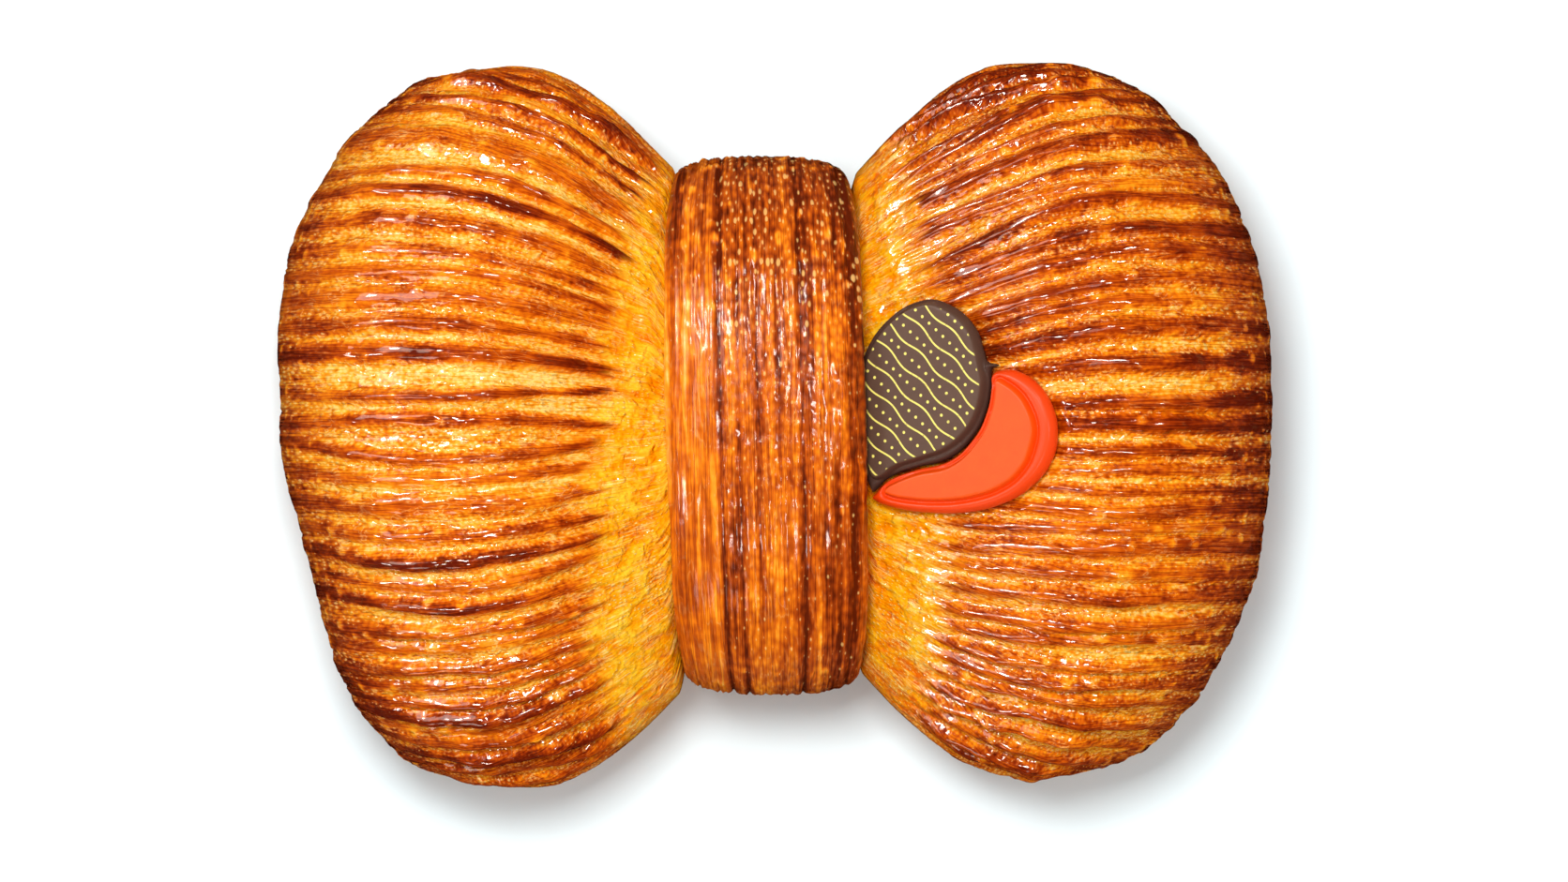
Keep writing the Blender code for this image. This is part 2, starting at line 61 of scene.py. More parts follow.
# ribs from the +Y edge to the -Y edge: bearing near the neck, half way and at
# the rim; half width of the browned crest; height; browning at the same places
RIDGES = {
    "left": (
        (84.0, 83.0, 82.0, 1.6, 0.5, 0.35, 0.30, 0.30),
        (79.5, 77.5, 77.5, 1.4, 0.6, 0.35, 0.60, 0.50),
        (75.5, 72.0, 74.0, 1.7, 1.0, 0.75, 0.85, 0.50),
        (70.8, 68.6, 71.0, 0.8, 0.4, 0.20, 0.10, 0.20),
        (66.3, 64.7, 67.3, 1.2, 1.0, 0.90, 0.60, 0.70),
        (60.5, 60.0, 62.5, 1.5, 0.8, 0.70, 0.55, 0.65),
        (57.0, 56.6, 58.3, 0.8, 0.4, 0.20, 0.20, 0.20),
        (53.0, 52.8, 53.6, 2.6, 0.8, 0.50, 0.50, 0.50),
        (45.8, 45.3, 44.8, 1.1, 0.8, 0.60, 0.55, 0.40),
        (41.0, 40.8, 40.0, 1.3, 1.1, 0.95, 0.85, 0.65),
        (34.8, 34.8, 34.0, 1.6, 0.9, 0.55, 0.60, 0.55),
        (30.0, 29.2, 29.3, 1.2, 0.8, 0.65, 0.50, 0.50),
        (26.2, 25.5, 24.5, 1.1, 0.8, 0.65, 0.45, 0.50),
        (22.0, 21.0, 20.3, 1.4, 0.8, 0.55, 0.50, 0.45),
        (17.2, 16.5, 16.0, 1.1, 0.8, 0.60, 0.60, 0.65),
        (12.0, 11.7, 11.0, 1.4, 1.2, 0.80, 0.75, 0.80),
        (6.6, 4.5, 5.0, 0.8, 1.0, 0.80, 0.70, 0.60),
        (0.5, 0.8, 0.3, 1.0, 1.0, 0.70, 0.65, 0.75),
        (-4.0, -5.6, -3.0, 0.9, 0.9, 0.70, 0.60, 0.70),
        (-8.5, -8.8, -8.0, 1.0, 0.7, 0.60, 0.40, 0.50),
        (-13.0, -13.3, -12.7, 1.5, 0.9, 0.45, 0.45, 0.60),
        (-18.4, -17.8, -17.0, 1.0, 0.9, 0.70, 0.60, 0.55),
        (-22.0, -22.6, -20.3, 1.2, 1.2, 0.75, 1.00, 0.75),
        (-26.0, -26.8, -25.0, 1.0, 0.8, 0.50, 0.50, 0.55),
        (-31.5, -30.3, -28.6, 1.1, 1.1, 0.55, 0.90, 0.85),
        (-36.0, -35.0, -34.5, 1.0, 0.9, 0.60, 0.50, 0.70),
        (-39.7, -38.2, -38.0, 0.9, 0.7, 0.50, 0.40, 0.50),
        (-44.0, -42.7, -43.0, 1.1, 0.9, 0.55, 0.60, 0.60),
        (-48.0, -46.5, -46.3, 1.0, 0.8, 0.40, 0.50, 0.60),
        (-51.7, -50.6, -49.3, 0.8, 0.8, 0.60, 0.60, 0.70),
        (-56.0, -54.5, -52.3, 1.2, 1.2, 0.70, 1.00, 0.85),
        (-60.3, -57.4, -56.0, 1.0, 0.5, 0.30, 0.30, 0.40),
        (-64.5, -60.8, -59.8, 1.5, 0.9, 0.50, 0.60, 0.60),
        (-72.5, -66.5, -65.3, 1.4, 1.2, 0.80, 0.95, 0.80),
        (-79.5, -73.0, -71.0, 1.4, 0.9, 0.50, 0.60, 0.50),
        (-84.5, -80.0, -78.0, 1.5, 0.7, 0.40, 0.40, 0.30),
    ),
    "right": (
        (86.5, 83.0, 85.0, 1.4, 0.7, 0.40, 0.90, 0.60),
        (82.5, 76.0, 79.0, 1.3, 0.9, 0.60, 0.75, 0.60),
        (75.5, 70.0, 72.5, 1.1, 1.0, 0.70, 0.85, 0.50),
        (65.8, 64.3, 67.3, 1.0, 0.9, 0.70, 0.75, 0.60),
        (62.0, 61.8, 64.0, 1.3, 0.9, 0.65, 0.75, 0.80),
        (57.0, 56.0, 58.5, 0.9, 0.8, 0.50, 0.55, 0.60),
        (51.7, 50.7, 53.7, 1.7, 1.1, 0.80, 0.75, 0.90),
        (45.7, 45.2, 46.4, 0.9, 0.8, 0.60, 0.60, 0.50),
        (42.5, 41.5, 41.8, 1.0, 0.7, 0.60, 0.30, 0.50),
        (36.0, 38.4, 37.5, 1.1, 1.0, 0.75, 0.75, 0.70),
        (31.0, 32.3, 32.3, 1.2, 1.0, 0.70, 0.75, 0.80),
        (26.2, 28.3, 27.5, 1.3, 0.9, 0.60, 0.70, 0.60),
        (21.2, 23.4, 23.4, 1.2, 0.9, 0.65, 0.65, 0.50),
        (18.0, 20.0, 19.6, 0.9, 0.7, 0.80, 0.50, 0.30),
        (13.2, 15.2, 15.1, 1.3, 1.0, 0.95, 0.70, 0.70),
        (9.0, 9.5, 9.8, 1.3, 1.1, 0.70, 0.75, 0.90),
        (4.2, 3.6, 3.6, 1.0, 1.1, 0.80, 0.75, 0.90),
        (0.5, 0.0, 0.0, 1.2, 1.2, 0.70, 0.85, 0.95),
        (-4.0, -4.3, -4.5, 0.9, 0.9, 0.70, 0.70, 0.90),
        (-8.0, -7.4, -7.4, 0.9, 0.7, 0.50, 0.50, 0.60),
        (-11.2, -11.0, -11.0, 0.7, 0.8, 0.60, 0.60, 0.75),
        (-15.2, -14.2, -13.8, 1.2, 0.9, 0.60, 0.60, 0.80),
        (-19.7, -17.4, -17.2, 0.8, 0.8, 0.70, 0.50, 0.50),
        (-24.3, -20.8, -20.6, 1.3, 0.9, 0.60, 0.60, 0.80),
        (-28.3, -25.6, -25.5, 1.1, 0.9, 0.60, 0.55, 0.70),
        (-33.5, -29.8, -29.3, 1.3, 1.1, 0.65, 0.75, 0.85),
        (-39.5, -35.2, -34.5, 1.2, 0.9, 0.65, 0.60, 0.70),
        (-43.5, -38.4, -38.2, 1.0, 0.9, 0.75, 0.70, 0.70),
        (-48.3, -43.8, -43.8, 1.1, 0.9, 0.60, 0.50, 0.60),
        (-53.0, -48.2, -48.3, 1.1, 0.9, 0.65, 0.65, 0.70),
        (-57.0, -52.6, -53.0, 1.0, 0.9, 0.60, 0.60, 0.60),
        (-62.6, -57.8, -60.0, 1.1, 1.1, 0.90, 0.80, 0.60),
        (-68.0, -63.5, -69.0, 1.1, 1.1, 0.70, 0.60, 0.60),
        (-74.0, -70.4, -76.0, 1.2, 1.0, 0.75, 0.75, 0.60),
        (-79.5, -77.0, -81.0, 1.2, 0.9, 0.70, 0.80, 0.60),
        (-84.5, -82.5, -85.5, 1.2, 0.8, 0.60, 0.70, 0.50),
    ),
}
BROWN_WIDE = {"left": 1.25, "right": 1.42}
# paler golden bands: bearing, half width, how much paler
GOLD = {
    "left": ((57.5, 1.6, 0.12), (48.5, 1.8, 0.10), (43.0, 1.4, 0.10),
             (38.0, 1.6, 0.12), (28.0, 1.2, 0.10), (14.0, 1.4, 0.10),
             (8.6, 2.2, 0.15), (3.0, 1.4, 0.08), (-10.5, 1.6, 0.10),
             (-24.5, 1.0, 0.08), (-41.0, 1.2, 0.08)),
    "right": ((59.0, 1.5, 0.12), (48.0, 1.5, 0.12), (12.0, 1.4, 0.14),
              (6.6, 1.6, 0.20), (-2.4, 1.2, 0.12), (-9.2, 1.0, 0.10),
              (-12.6, 1.2, 0.16), (-32.0, 1.2, 0.08), (-41.0, 1.2, 0.08)),
}
# where the pale neck ends, as t, at bearings 90, 45, 0, -45, -90
NECK_END = {"left": (0.17, 0.20, 0.245, 0.315, 0.33),
            "right": (0.20, 0.185, 0.22, 0.27, 0.29)}

# ------------------------------------------------------------ the strip
STRIP_X = -1.45
STRIP_TOP, STRIP_SIDE, STRIP_UNDER = (14.7, 12.3), (12.4, 7.3), (12.2, 6.3)
STRIP_GAP, STRIP_SKEW = 0.45, 0.9

# ------------------------------------------------------------ the heart
HEART_AT, HEART_Z, HEART_TILT = (26.95, 2.66), 45.1, 26.0
HEART_BASE, HEART_STEP, HEART_SEAT = 2.4, 1.1, 0.45
DARK_EDGE = ((-4.9, 15.9), (-0.8, 15.0), (2.5, 11.9), (3.85, 8.2), (4.3, 6.9),
             (6.1, 6.3, 1), (5.0, 5.7), (4.9, 3.2), (4.2, -0.4), (2.4, -4.1),
             (-1.1, -7.4), (-6.3, -8.9), (-10.1, -10.3), (-12.4, -12.5, 1),
             (-13.5, -9.8), (-14.5, -4.9), (-14.8, 1.4), (-13.6, 7.7),
             (-10.1, 13.0))
DARK_FACE = ((-4.9, 15.4), (-1.2, 14.6), (1.9, 11.7), (3.1, 8.3), (3.5, 6.2),
             (3.9, 4.2), (3.8, 2.2), (3.1, -0.6), (1.4, -3.6), (-1.5, -6.1),
             (-5.3, -7.5), (-8.9, -8.7), (-11.9, -10.5), (-12.9, -9.0),
             (-13.9, -4.6), (-14.3, 1.4), (-13.1, 7.4), (-9.8, 12.6))
RED_EDGE = ((5.5, 4.8), (6.8, 5.5), (9.0, 5.3), (12.0, 3.3), (13.95, 0.2),
            (14.7, -3.8), (13.8, -8.0), (11.0, -11.6), (7.0, -14.1),
            (1.4, -15.5), (-4.9, -15.5), (-9.8, -14.7), (-12.3, -13.6),
            (-12.2, -13.1, 1), (-9.8, -10.8), (-6.2, -9.4), (-0.8, -7.9),
            (2.9, -4.4), (4.75, -0.5), (5.4, 3.0))
RED_FACE = ((6.0, 4.0), (7.1, 3.7), (9.2, 2.1), (10.6, 0.0), (11.5, -2.8),
            (11.2, -5.7), (9.7, -9.1), (6.7, -11.7), (2.1, -13.3),
            (-2.8, -13.8), (-7.6, -13.5), (-10.4, -12.8), (-10.5, -12.2),
            (-9.2, -11.3), (-5.9, -10.0), (-0.5, -8.6), (3.4, -4.8),
            (5.3, -0.7), (5.9, 2.6))


# ------------------------------------------------------------ helpers
def smooth(s):
    s = np.clip(s, 0.0, 1.0)
    return s * s * (3.0 - 2.0 * s)


def bump(s, power=2.4):
    return np.exp(-np.abs(s) ** power)


class Noise:
    """Gradient noise over a plane, seeded, in numpy."""

    def __init__(self, seed):
        r = np.random.RandomState(seed)
        self.p = r.permutation(2048)
        a = r.rand(2048) * 2 * math.pi
        self.g = np.stack([np.cos(a), np.sin(a)], 1)

    def __call__(self, x, y):
        x, y = np.broadcast_arrays(np.asarray(x, float), np.asarray(y, float))
        xi, yi = np.floor(x).astype(np.int64), np.floor(y).astype(np.int64)
        xf, yf = x - xi, y - yi
        u = xf * xf * xf * (xf * (xf * 6 - 15) + 10)
        v = yf * yf * yf * (yf * (yf * 6 - 15) + 10)

        def corner(i, j):
            g = self.g[self.p[(self.p[(xi + i) & 2047] + yi + j) & 2047]]
            return g[..., 0] * (xf - i) + g[..., 1] * (yf - j)

        a = corner(0, 0) * (1 - u) + corner(1, 0) * u
        b = corner(0, 1) * (1 - u) + corner(1, 1) * u
        return (a * (1 - v) + b * v) * 1.5

    def fbm(self, x, y, octaves=3, gain=0.5):
        total, amp = 0.0, 1.0
        for k in range(octaves):
            total = total + amp * self(x * 2 ** k + 17.3 * k,
                                       y * 2 ** k - 9.1 * k)
            amp *= gain
        return total

    def ridged(self, x, y, octaves=2):
        total, amp = 0.0, 1.0
        for k in range(octaves):
            total = total + amp * (1 - 2.2 * np.abs(
                self(x * 2 ** k + 5.7 * k, y * 2 ** k + 3.3 * k)))
            amp *= 0.5
        return total


def through(near, mid, far, t):
    """A smooth curve of t through three stations along a wing."""
    q = np.clip(t, 0.2, 1.0)
    a, b, c = 0.33, 0.65, 0.97
    return (near * (q - b) * (q - c) / ((a - b) * (a - c))
            + mid * (q - a) * (q - c) / ((b - a) * (b - c))
            + far * (q - a) * (q - b) / ((c - a) * (c - b)))


def fan_xy(side, t, a):
    sign, rim, up, down, corner, full_up, full_down = WINGS[side]
    sa = np.sin(a)
    reach = np.where(a >= 0, up, down)
    neck = 0.5 * WAIST_HALF * (sa + a / (math.pi / 2))
    k = smooth(0.5 + 1.2 * sa)
    start, run, extra, power, fall = (
        m + (p - m) * k for p, m in zip(*RISE[side]))
    q = np.minimum(t / WIDEST_T, 1.0)
    rise = np.sin(math.pi / 2 * q) + extra * (1 - q) ** power
    rise = rise * smooth((t - start) / run)
    drop = np.maximum((t - WIDEST_T) / (1 - WIDEST_T), 0.0) ** 2 * fall
    y = neck + (reach * sa - neck) * rise - drop * reach * sa
    edge = WAIST_HALF + (reach - WAIST_HALF) * rise - drop * reach
    s = np.clip(np.abs(sa), 0.0, 1.0)
    full = np.where(a >= 0, full_up, full_down)
    span = rim - NECK_X - corner
    bulge = np.sqrt(np.maximum(1 - s * s, 0.0))
    bulge = bulge + full * np.maximum(np.sin(math.pi * s), 0.0) ** 1.5
    x = sign * (NECK_X + (corner + span * bulge) * t)
    return x, y, np.clip(np.abs(y) / edge, 0.0, 1.0)


def heart_plane(x):
    return HEART_Z + (x - HEART_AT[0]) * math.tan(math.radians(HEART_TILT))


def wing_point(side, t, a, under):
    x, y, across = fan_xy(side, t, a)
    dome = np.maximum(1 - across ** ACROSS_POWER, 0.0) ** (1 / ACROSS_POWER)
    if under:
        u = np.clip((t - BASE_T) / (1 - BASE_T), 0.0, 1.0)
        fall = np.maximum(1 - u ** RIM_POWER, 0.0) ** (1 / RIM_POWER)
        first = (1 - WAIST_BOTTOM / SEAM_Z) / BASE_SPREAD
        fall = fall * (first + (1 - first) * smooth((t - 0.05) / 0.2))
        z = SEAM_Z * (1 - BASE_SPREAD * dome * fall)
        z = np.maximum(z, 0.0)
    else:
        u = np.clip((t - CROWN_T) / (1 - CROWN_T), 0.0, 1.0)
        top = SEAM_Z + (CROWN_Z - SEAM_Z) * np.maximum(
            1 - u ** RIM_POWER, 0.0) ** (1 / RIM_POWER)
        neck = WAIST_TOP + (CROWN_Z - WAIST_TOP) * smooth(t / CROWN_T)
        top = np.where(t < CROWN_T, neck, top)
        z = SEAM_Z + (top - SEAM_Z) * dome
    x, y, z = np.broadcast_arrays(x, y, z)
    return np.stack([x, y, z], -1)


def vertex_normals(co, tris):
    n = np.cross(co[tris[:, 1]] - co[tris[:, 0]], co[tris[:, 2]] - co[tris[:, 0]])
    out = np.zeros_like(co)
    for k in range(3):
        for c in range(3):
            out[:, c] += np.bincount(tris[:, k], weights=n[:, c],
                                     minlength=len(co))
    return out / np.maximum(np.linalg.norm(out, axis=1), 1e-12)[:, None]


def split(faces):
    """Quads, given as rows of 4 indices, to triangles."""
    q = np.asarray(faces)
    return np.concatenate([q[:, [0, 1, 2]], q[:, [0, 2, 3]]])


def make_mesh(name, co, quads, tris, ngons, uv=None):
    """A mesh from arrays.  uv holds one (u, v) per face corner, in order."""
    mesh = bpy.data.meshes.new(name)
    sizes = ([np.full(len(quads), 4)] if len(quads) else []) \
        + ([np.full(len(tris), 3)] if len(tris) else []) \
        + [np.array([len(g)]) for g in ngons]
    sizes = np.concatenate(sizes)
    loops = np.concatenate([np.asarray(f).ravel() for f in
                            [quads, tris] if len(f)]
                           + [np.asarray(g) for g in ngons])
    mesh.vertices.add(len(co))
    mesh.vertices.foreach_set("co", (co * MM).astype(np.float32).ravel())
    mesh.loops.add(len(loops))
    mesh.loops.foreach_set("vertex_index", loops.astype(np.int32))
    mesh.polygons.add(len(sizes))
    starts = np.concatenate([[0], np.cumsum(sizes)[:-1]])
    mesh.polygons.foreach_set("loop_start", starts.astype(np.int32))
    mesh.polygons.foreach_set("use_smooth", np.ones(len(sizes), bool))
    mesh.update(calc_edges=True)
    if uv is not None:
        layer = mesh.uv_layers.new(name="OFBake")
        layer.data.foreach_set("uv", np.asarray(uv, np.float32).ravel())
    mesh.validate()
    obj = bpy.data.objects.new(name, mesh)
    bpy.context.scene.collection.objects.link(obj)
    return obj


def give(obj, name, values):
    """A point attribute: one float or one vector per vertex."""
    values = np.asarray(values, np.float32)
    kind = "FLOAT" if values.ndim == 1 else "FLOAT_VECTOR"
    layer = obj.data.attributes.new(name, kind, "POINT")
    layer.data.foreach_set("value" if kind == "FLOAT" else "vector",
                           values.ravel())


# ------------------------------------------------------------ wings
def neck_end(side, deg):
    return np.interp(deg, [-90, -45, 0, 45, 90], NECK_END[side][::-1])


def crust(side, t, deg, under, seed):
    """Height in mm and browning over a wing, at t and bearing in degrees."""
    big = Noise(seed)
    fine = Noise(seed + 1)
    t, deg = np.broadcast_arrays(t, deg)
    along = t * 68.0
    across = deg * 0.95
    tt = np.ones_like(t) if under else t
    height = np.zeros(t.shape)
    dark = np.zeros(t.shape)
    crest = np.zeros(t.shape)
    # every strand of brown runs out at its own place towards the neck
    edge = neck_end(side, deg) + 0.020 * fine(along * 0.05, across * 0.30) \
        + 0.045 * fine(along * 0.03 + 9, across * 0.85 + 40)
    out = smooth((t - edge + 0.07) / 0.16)
    shade = smooth((t - edge + 0.045) / 0.085)
    ragged = 0.30 * fine(along * 0.13, across * 1.35 + 13) \
        + 0.16 * fine(along * 0.55 + 5, across * 0.9)
    for k, row in enumerate(RIDGES[side]):
        near, mid, far, width, high, d0, d1, d2 = row
        wave = 0.50 * big(t * 4.2 + 7.7 * k, 0.31 * k) \
            + 0.24 * big(t * 11.0 + 3.1 * k, 5.0 + 0.7 * k)
        centre = through(near, mid, far, tt) + wave
        wide = width * (1.0 + 0.30 * big(t * 5.0 + 2.3 * k, 11.0 + k)
                        + 0.16 * big(t * 16.0 + 2.9 * k, 17.0 + k))
        s = (deg - centre) / wide
        s = np.where(s < 0, s * 1.22, s * 0.90)
        size = high * (0.85 + 0.45 * big(t * 4.0 + k, 30.0 + 0.9 * k)
                       + 0.20 * big(t * 13.0 + k, 35.0 + 0.9 * k))
        height = np.maximum(height, size * bump(s / 1.26, 3.5))
        crest = np.maximum(crest, bump(s / 1.10, 3.0))
        d = through(d0, d1, d2, tt) * (
            1.0 + 0.34 * big(t * 6.0 + 1.7 * k, 70.0 + k)
            + 0.26 * big(t * 15.0 + 1.7 * k, 75.0 + k))
        off = 0.14 * wide * big(t * 9.0 + k, 90.0 + 1.3 * k)
        dark = np.maximum(dark, d * bump(
            (s + off + ragged / wide) / BROWN_WIDE[side], 3.4))
    lift = (height - 0.52) * 2.0 * out
    ends = 0.82 if side == "left" else 0.80
    lift = lift * (1 - ends * smooth((t - 0.72) / 0.28))
    return lift, dark * shade, crest * shade, out, shade, along, across


def scatter(points, field, rng, count, size, pick, longer, high=0.42):
    """Raises blisters on a height field; returns where they are."""
    marks = np.zeros_like(field)
    nt, na = field.shape
    weight = np.clip(pick, 0, None)
    weight[:3], weight[-3:], weight[:, :3], weight[:, -3:] = 0, 0, 0, 0
    place = rng.choice(weight.size, count, p=(weight / weight.sum()).ravel())
    for spot in place:
        i, j = divmod(int(spot), na)
        r = size[0] + (size[1] - size[0]) * rng.rand() ** 2.2
        stretch = longer[0] + (longer[1] - longer[0]) * rng.rand()
        along = points[i + 1, j] - points[i - 1, j]
        step_i = max(np.linalg.norm(along) / 2, 0.05)
        step_j = max(np.linalg.norm(points[i, j + 1] - points[i, j]), 0.05)
        along = along / (2 * step_i)
        span_i = min(int(r * stretch * 2.0 / step_i) + 2, 40)
        span_j = min(int(r * 2.0 / step_j) + 2, 40)
        i0, i1 = max(i - span_i, 0), min(i + span_i + 1, nt)
        j0, j1 = max(j - span_j, 0), min(j + span_j + 1, na)
        p = points[i0:i1, j0:j1] - points[i, j]
        run = p @ along
        side2 = np.maximum((p * p).sum(-1) - run * run, 0)
        s = np.sqrt((run / stretch) ** 2 + side2) / r
        field[i0:i1, j0:j1] = np.maximum(field[i0:i1, j0:j1],
                                         np.exp(-(s ** 2.6)) * r * high)
        marks[i0:i1, j0:j1] = np.maximum(marks[i0:i1, j0:j1],
                                         np.exp(-(s * 1.05) ** 4))
    return marks


def dress(side, seed, tg, ag, points, under):
    """Relief, browning and the other fields over one side of a wing."""
    one = np.ones_like(points[..., 0])
    z = points[..., 2]
    deg = np.degrees(ag)
    lift, dark, crest, out, shade, along, across = crust(
        side, tg, deg, under, seed)
    w1, w2, w3 = Noise(seed + 11), Noise(seed + 12), Noise(seed + 13)
    valley = 1 - crest
    pale = 1 - shade
    bend = 1.4 * w3(along * 0.10, across * 0.16)
    strands = w1.ridged(along * 0.075, across * 0.80 + bend, 3)
    curl = 0.9 * w3(along * 0.35 + 7, across * 0.5)
    wrinkle = w2.ridged(along * 0.34 + curl, across * 0.80 + curl, 2)
    grain = w2(along * 0.9 + 30, across * 1.15)
    lift = lift + (0.21 * strands * (0.35 + 0.65 * valley)
                   + 0.17 * wrinkle * (0.15 + 0.85 * valley)
                   + 0.06 * grain * valley) * (0.10 + 0.90 * out) \
        * (1 - 0.45 * smooth((tg - 0.85) / 0.15))
    lift = lift + 0.55 * w3.fbm(along * 0.055, across * 0.06, 2) * out
    # neck: soft folds running into the strip, with curly wrinkles on them
    folds = w1.fbm(along * 0.10, across * 0.20 + bend, 2)
    curls = w2.fbm(along * 0.38 + curl, across * 0.34 + curl, 2)
    lift = lift + pale * (0.45 * folds + 0.30 * curls) \
        * smooth((tg - 0.05) / 0.08) \
        * (1 - 0.65 * smooth((np.abs(deg) - 35) / 35))
    rng = np.random.RandomState(seed + (6 if under else 5))
    blobs = np.zeros_like(lift)
    near_rim = smooth((tg - 0.62) / 0.38)
    pick = (0.22 + 0.78 * valley) * (0.25 + 0.75 * out) \
        * (0.35 + 0.65 * near_rim) * one
    if under:
        pick = pick * smooth((z - 2.0) / 6.0)
    marks = scatter(points, blobs, rng, 170 if under else 420, (0.35, 0.95),
                    pick, (1.0, 1.8))
    lift = lift + blobs * (1 - 0.55 * near_rim)
    fade = np.minimum(1.0, np.minimum(
        (np.pi / 2 - np.abs(ag)) / 0.05, 1.0)) * one
    lift = lift * (0.25 + 0.75 * smooth(fade))

    tone = (0.30 if side == "left" else 0.41 - 0.09 * smooth(-deg / 30)) \
        + 0.13 * w3.fbm(along * 0.07, across * 0.07 + 9, 2)
    # darker toward both long edges, the steep sides and the rim: partly deeper
    # browning, partly painted shade where these faces turn from the light, the
    # most on the lower left
    brown_and_shade_up, brown_and_shade_down = (0.05, 0.16) if side == "left" else (0.11, 0.07)
    tone = tone + brown_and_shade_up * smooth((deg - 45) / 25) \
        + brown_and_shade_down * smooth((-deg - 25) / 25) \
        + 0.15 * smooth((np.abs(deg) - 60) / 25)
    tone = tone + 0.26 * smooth((tg - 0.84) / 0.16)
    for at, wide, much in GOLD[side]:
        tone = tone - much * bump((deg - at) / wide, 2.0) \
            * smooth((0.98 - tg) / 0.2)
    tone = tone - 0.05 * strands - 0.05 * wrinkle \
        + 0.10 * w2(along * 0.16, across * 0.75)
    if side == "right":
        dark = dark * (1 - 0.16 * smooth((-deg - 15) / 20))
    brown = tone + (1.04 - tone) * np.clip(dark, 0, 1.1) * 0.92
    brown = brown * (1 - 0.60 * marks) + 0.06 * marks
    # painted shade: deeper amber in the dips of the neck folds and down the steep
    # sides
    dip_shade = (0.32 if side == "left" else 0.48) - 0.40 * curls - 0.35 * folds \
        + 0.30 * smooth((np.abs(deg) - 45) / 35)
    dots = (0.30 + 0.70 * valley) * (0.35 + 0.65 * out) \
        + 0.35 * w3(along * 0.05, across * 0.08 + 21) + 0.40 * pale
    rim = smooth((tg - 0.80) / 0.20) * one
    flat = 0 * one
    if under:
        # the relief dies out and the crust grows even toward the flat base
        low = 1 - smooth(z / SEAM_Z)
        lift = lift * smooth(z / 8.0)
        flat = 1 - smooth(z / 1.5)
        even = 0.50 + 0.12 * w3(along * 0.10, across * 0.10)
        brown = brown + (even - brown) * 0.75 * smooth((low - 0.25) / 0.7)
        brown = brown + (0.62 - brown) * flat
        pale = pale * (1 - flat)
        # more painted shade low on the underside
        dip_shade = dip_shade + 0.40 * low
        rim = rim + (1 - rim) * low
    return {"lift": lift * one, "brown": np.clip(brown, 0, 1) * one,
            "pale": np.clip(pale, 0, 1) * one, "crest": crest * one,
            "flat": flat, "rim": rim, "dip_shade": np.clip(dip_shade, 0, 1) * one,
            "dots": np.clip(dots, 0, 1) * one, "along": along * one,
            "across": across * one}


